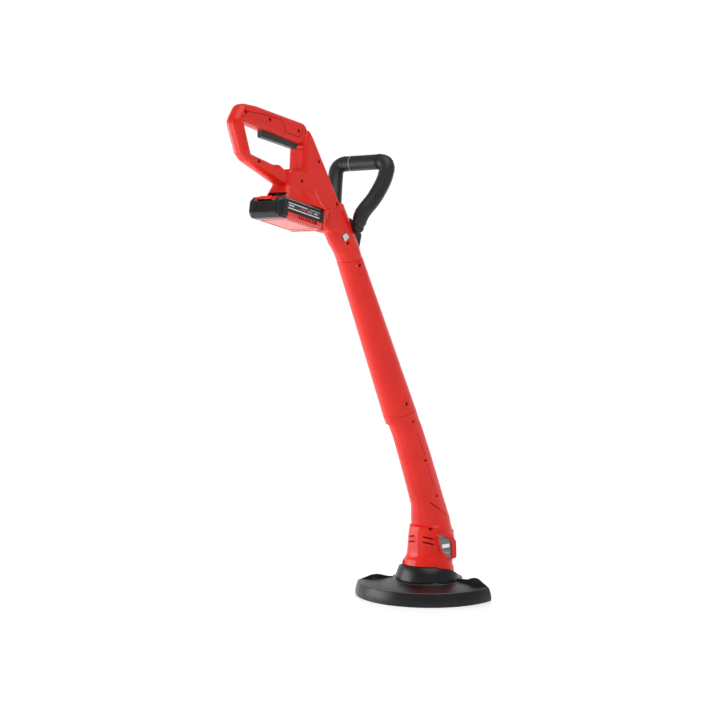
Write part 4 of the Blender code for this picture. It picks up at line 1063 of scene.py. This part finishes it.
def makeGuardSlot(finishes):
    # A dark bead along the slot's middle, and a lighter one beside it, nearer the rim, whose grey is a
    # painted highlight.
    out = guard["slotRimOut"]
    markOnGuard("guardSlot", guard["slot"], guard["slotBead"], finishes["blackPlastic"])
    markOnGuard("guardSlotRim", [(x * out, y * out) for x, y in guard["slot"]], guard["slotRimBead"],
                finishes["paintedHighlightGrey"])


def makeGuardRings(finish):
    # Arcs of a circle along the step and the ridge, in a lighter grey that is a painted highlight.
    short = guard["lineShort"]
    angle = np.radians(np.linspace(guard["start"] + short, guard["end"] - short, 120))
    for name, (radius, *widthAndHeight) in guard["rings"].items():
        route = np.stack([radius * np.cos(angle), radius * np.sin(angle)], axis=-1)
        markOnGuard(name, route, widthAndHeight, finish, 0.003)


def makeGuardCrests(finish):
    # The crest of each cut edge's rib: a thin bead over its (radius, z) outline, in a lighter grey that is a
    # painted highlight.
    for side, angle in (("left", guard["start"]), ("right", guard["end"])):
        corners = np.array(guard[side + "Crest"])
        radius = np.linspace(corners[0, 0], corners[-1, 0], 60)
        height = np.interp(radius, corners[:, 0], corners[:, 1])
        turn = math.radians(angle)
        points = np.stack([radius * math.cos(turn), radius * math.sin(turn), height], axis=-1)
        normals = np.tile((0.0, 0.0, 1.0), (len(points), 1))
        crest = bead(f"guardCrest_{side}", points, normals, *guard["crestBead"])
        place(crest, finish, "tool", "black_plastic")


def makeGuardNotch(finish):
    # A V-shaped notch mark on the hub's ring, towards the tool's right rear, drawn in the painted-highlight
    # grey.
    x, y = guard["notch"]
    for k, (wayX, wayY) in enumerate(guard["notchWays"]):
        tip = (x + wayX * guard["notchArm"], y + wayY * guard["notchArm"])
        markOnGuard(f"guardNotch_{k + 1}", [(x, y), tip], guard["notchBead"], finish)


# Cutting head seen from below: ribbed bump cap, steel eyelets and the wound line.
head = {
    "capRadius": 0.0410,
    "capLow": 0.0012,
    "capHigh": 0.0036,
    "capLobes": 24,
    "stemRadius": 0.0050,
    "stemTop": 0.0070,
    "eyeletOut": 0.0440,
    "eyeletZ": 0.0120,
    "eyelet": [(0.0022, -0.0060), (0.0020, 0.0), (0.0023, 0.0004), (0.0029, 0.0003), (0.0029, -0.0002),
               (0.0027, -0.0060)],
    "lineInner": 0.0163,
    "lineOuter": 0.0300,
    "lineLow": 0.0059,
    "lineHigh": 0.0166,
    "lineTurns": 6,
    "lineBulge": 0.0008,
}


def makeBumpCap(finish):
    # A disc whose outer band swells capLobes times round its rim, with two ring grooves and a raised middle.
    r, low, high = head["capRadius"], head["capLow"], head["capHigh"]
    stem, top = head["stemRadius"], head["stemTop"]
    profile = [(0.0001, top), (stem, top), (stem, high), (0.94 * r, high), (0.98 * r, high - 0.0004, 0.02),
               (0.975 * r, high - 0.0012, 0.02), (0.92 * r, low + 0.0010, 0.012), (0.80 * r, low + 0.0006),
               (0.78 * r, low + 0.0012), (0.76 * r, low + 0.0006), (0.56 * r, low + 0.0003),
               (0.54 * r, low + 0.0010), (0.52 * r, low + 0.0003), (0.30 * r, low), (0.0001, low)]
    made = lathe("bumpCapRibbed", profile, turns=144, lobes=head["capLobes"], capEnds=(True, True))
    place(made, finish, "bump_feed", "black_plastic", "bump_cap")


def makeEyelets(finish):
    for side, way in (("rear", -1), ("front", 1)):
        centre = (way * head["eyeletOut"], 0, head["eyeletZ"])
        eyelet = lathe(f"eyelet_{side}", head["eyelet"], centre, (way, 0, 0), 28)
        place(eyelet, finish, "cutting_head", "steel")


def makeWoundLine(finish):
    # The outer radius bulges once for every turn of line that lies beside its neighbour.
    inner, outer = head["lineInner"], head["lineOuter"]
    share = np.linspace(0, 1, head["lineTurns"] * 8 + 1)
    bulge = np.abs(np.sin(np.pi * head["lineTurns"] * share))
    height = head["lineLow"] + (head["lineHigh"] - head["lineLow"]) * share
    wound = [(inner, head["lineLow"]), *zip(outer - head["lineBulge"] * (1 - bulge), height),
             (inner, head["lineHigh"])]
    place(lathe("woundLine", wound, turns=72), finish, "bump_feed", "cutting_line", "line_winding")


makeCamera()
makeSky()
makeLights()
makeFloor()
print("camera, light and floor made")
finishes = makeFinishes()
dressNodes(finishes)
print("CAD nodes dressed:", len(frame["nodes"]))
makeScrews(finishes["recessShadeScrew"])
print("screws made")
makeHousingLines(finishes)
makeSticker(finishes)
print("housing lines and sticker made")
makePackRibs(finishes["blackPlastic"])
makePackFeet(finishes["blackPlastic"])
makeSidePlates("packLabel", finishes["packLabel"], "label_plate")
makePackWings(finishes["redPlastic"])
makeReleaseCover(finishes["redPlastic"])
makeSidePlates("ribGround", finishes["grooveShadeAndJointRed"], "red_housing")
makePackSeams(finishes)
print("battery pack details made")
makeLoopDetails(finishes)
makeMotorPlate(finishes["motorPlate"])
makePeg(finishes["blackPlastic"])
makeGuardSlot(finishes)
makeGuardRings(finishes["paintedHighlightGrey"])
makeGuardCrests(finishes["paintedHighlightGrey"])
makeGuardNotch(finishes["paintedHighlightGrey"])
makeBumpCap(finishes["blackPlastic"])
makeEyelets(finishes["drawnSteel"])
makeWoundLine(finishes["lineNylon"])
print("loop, plate, guard and head details made")
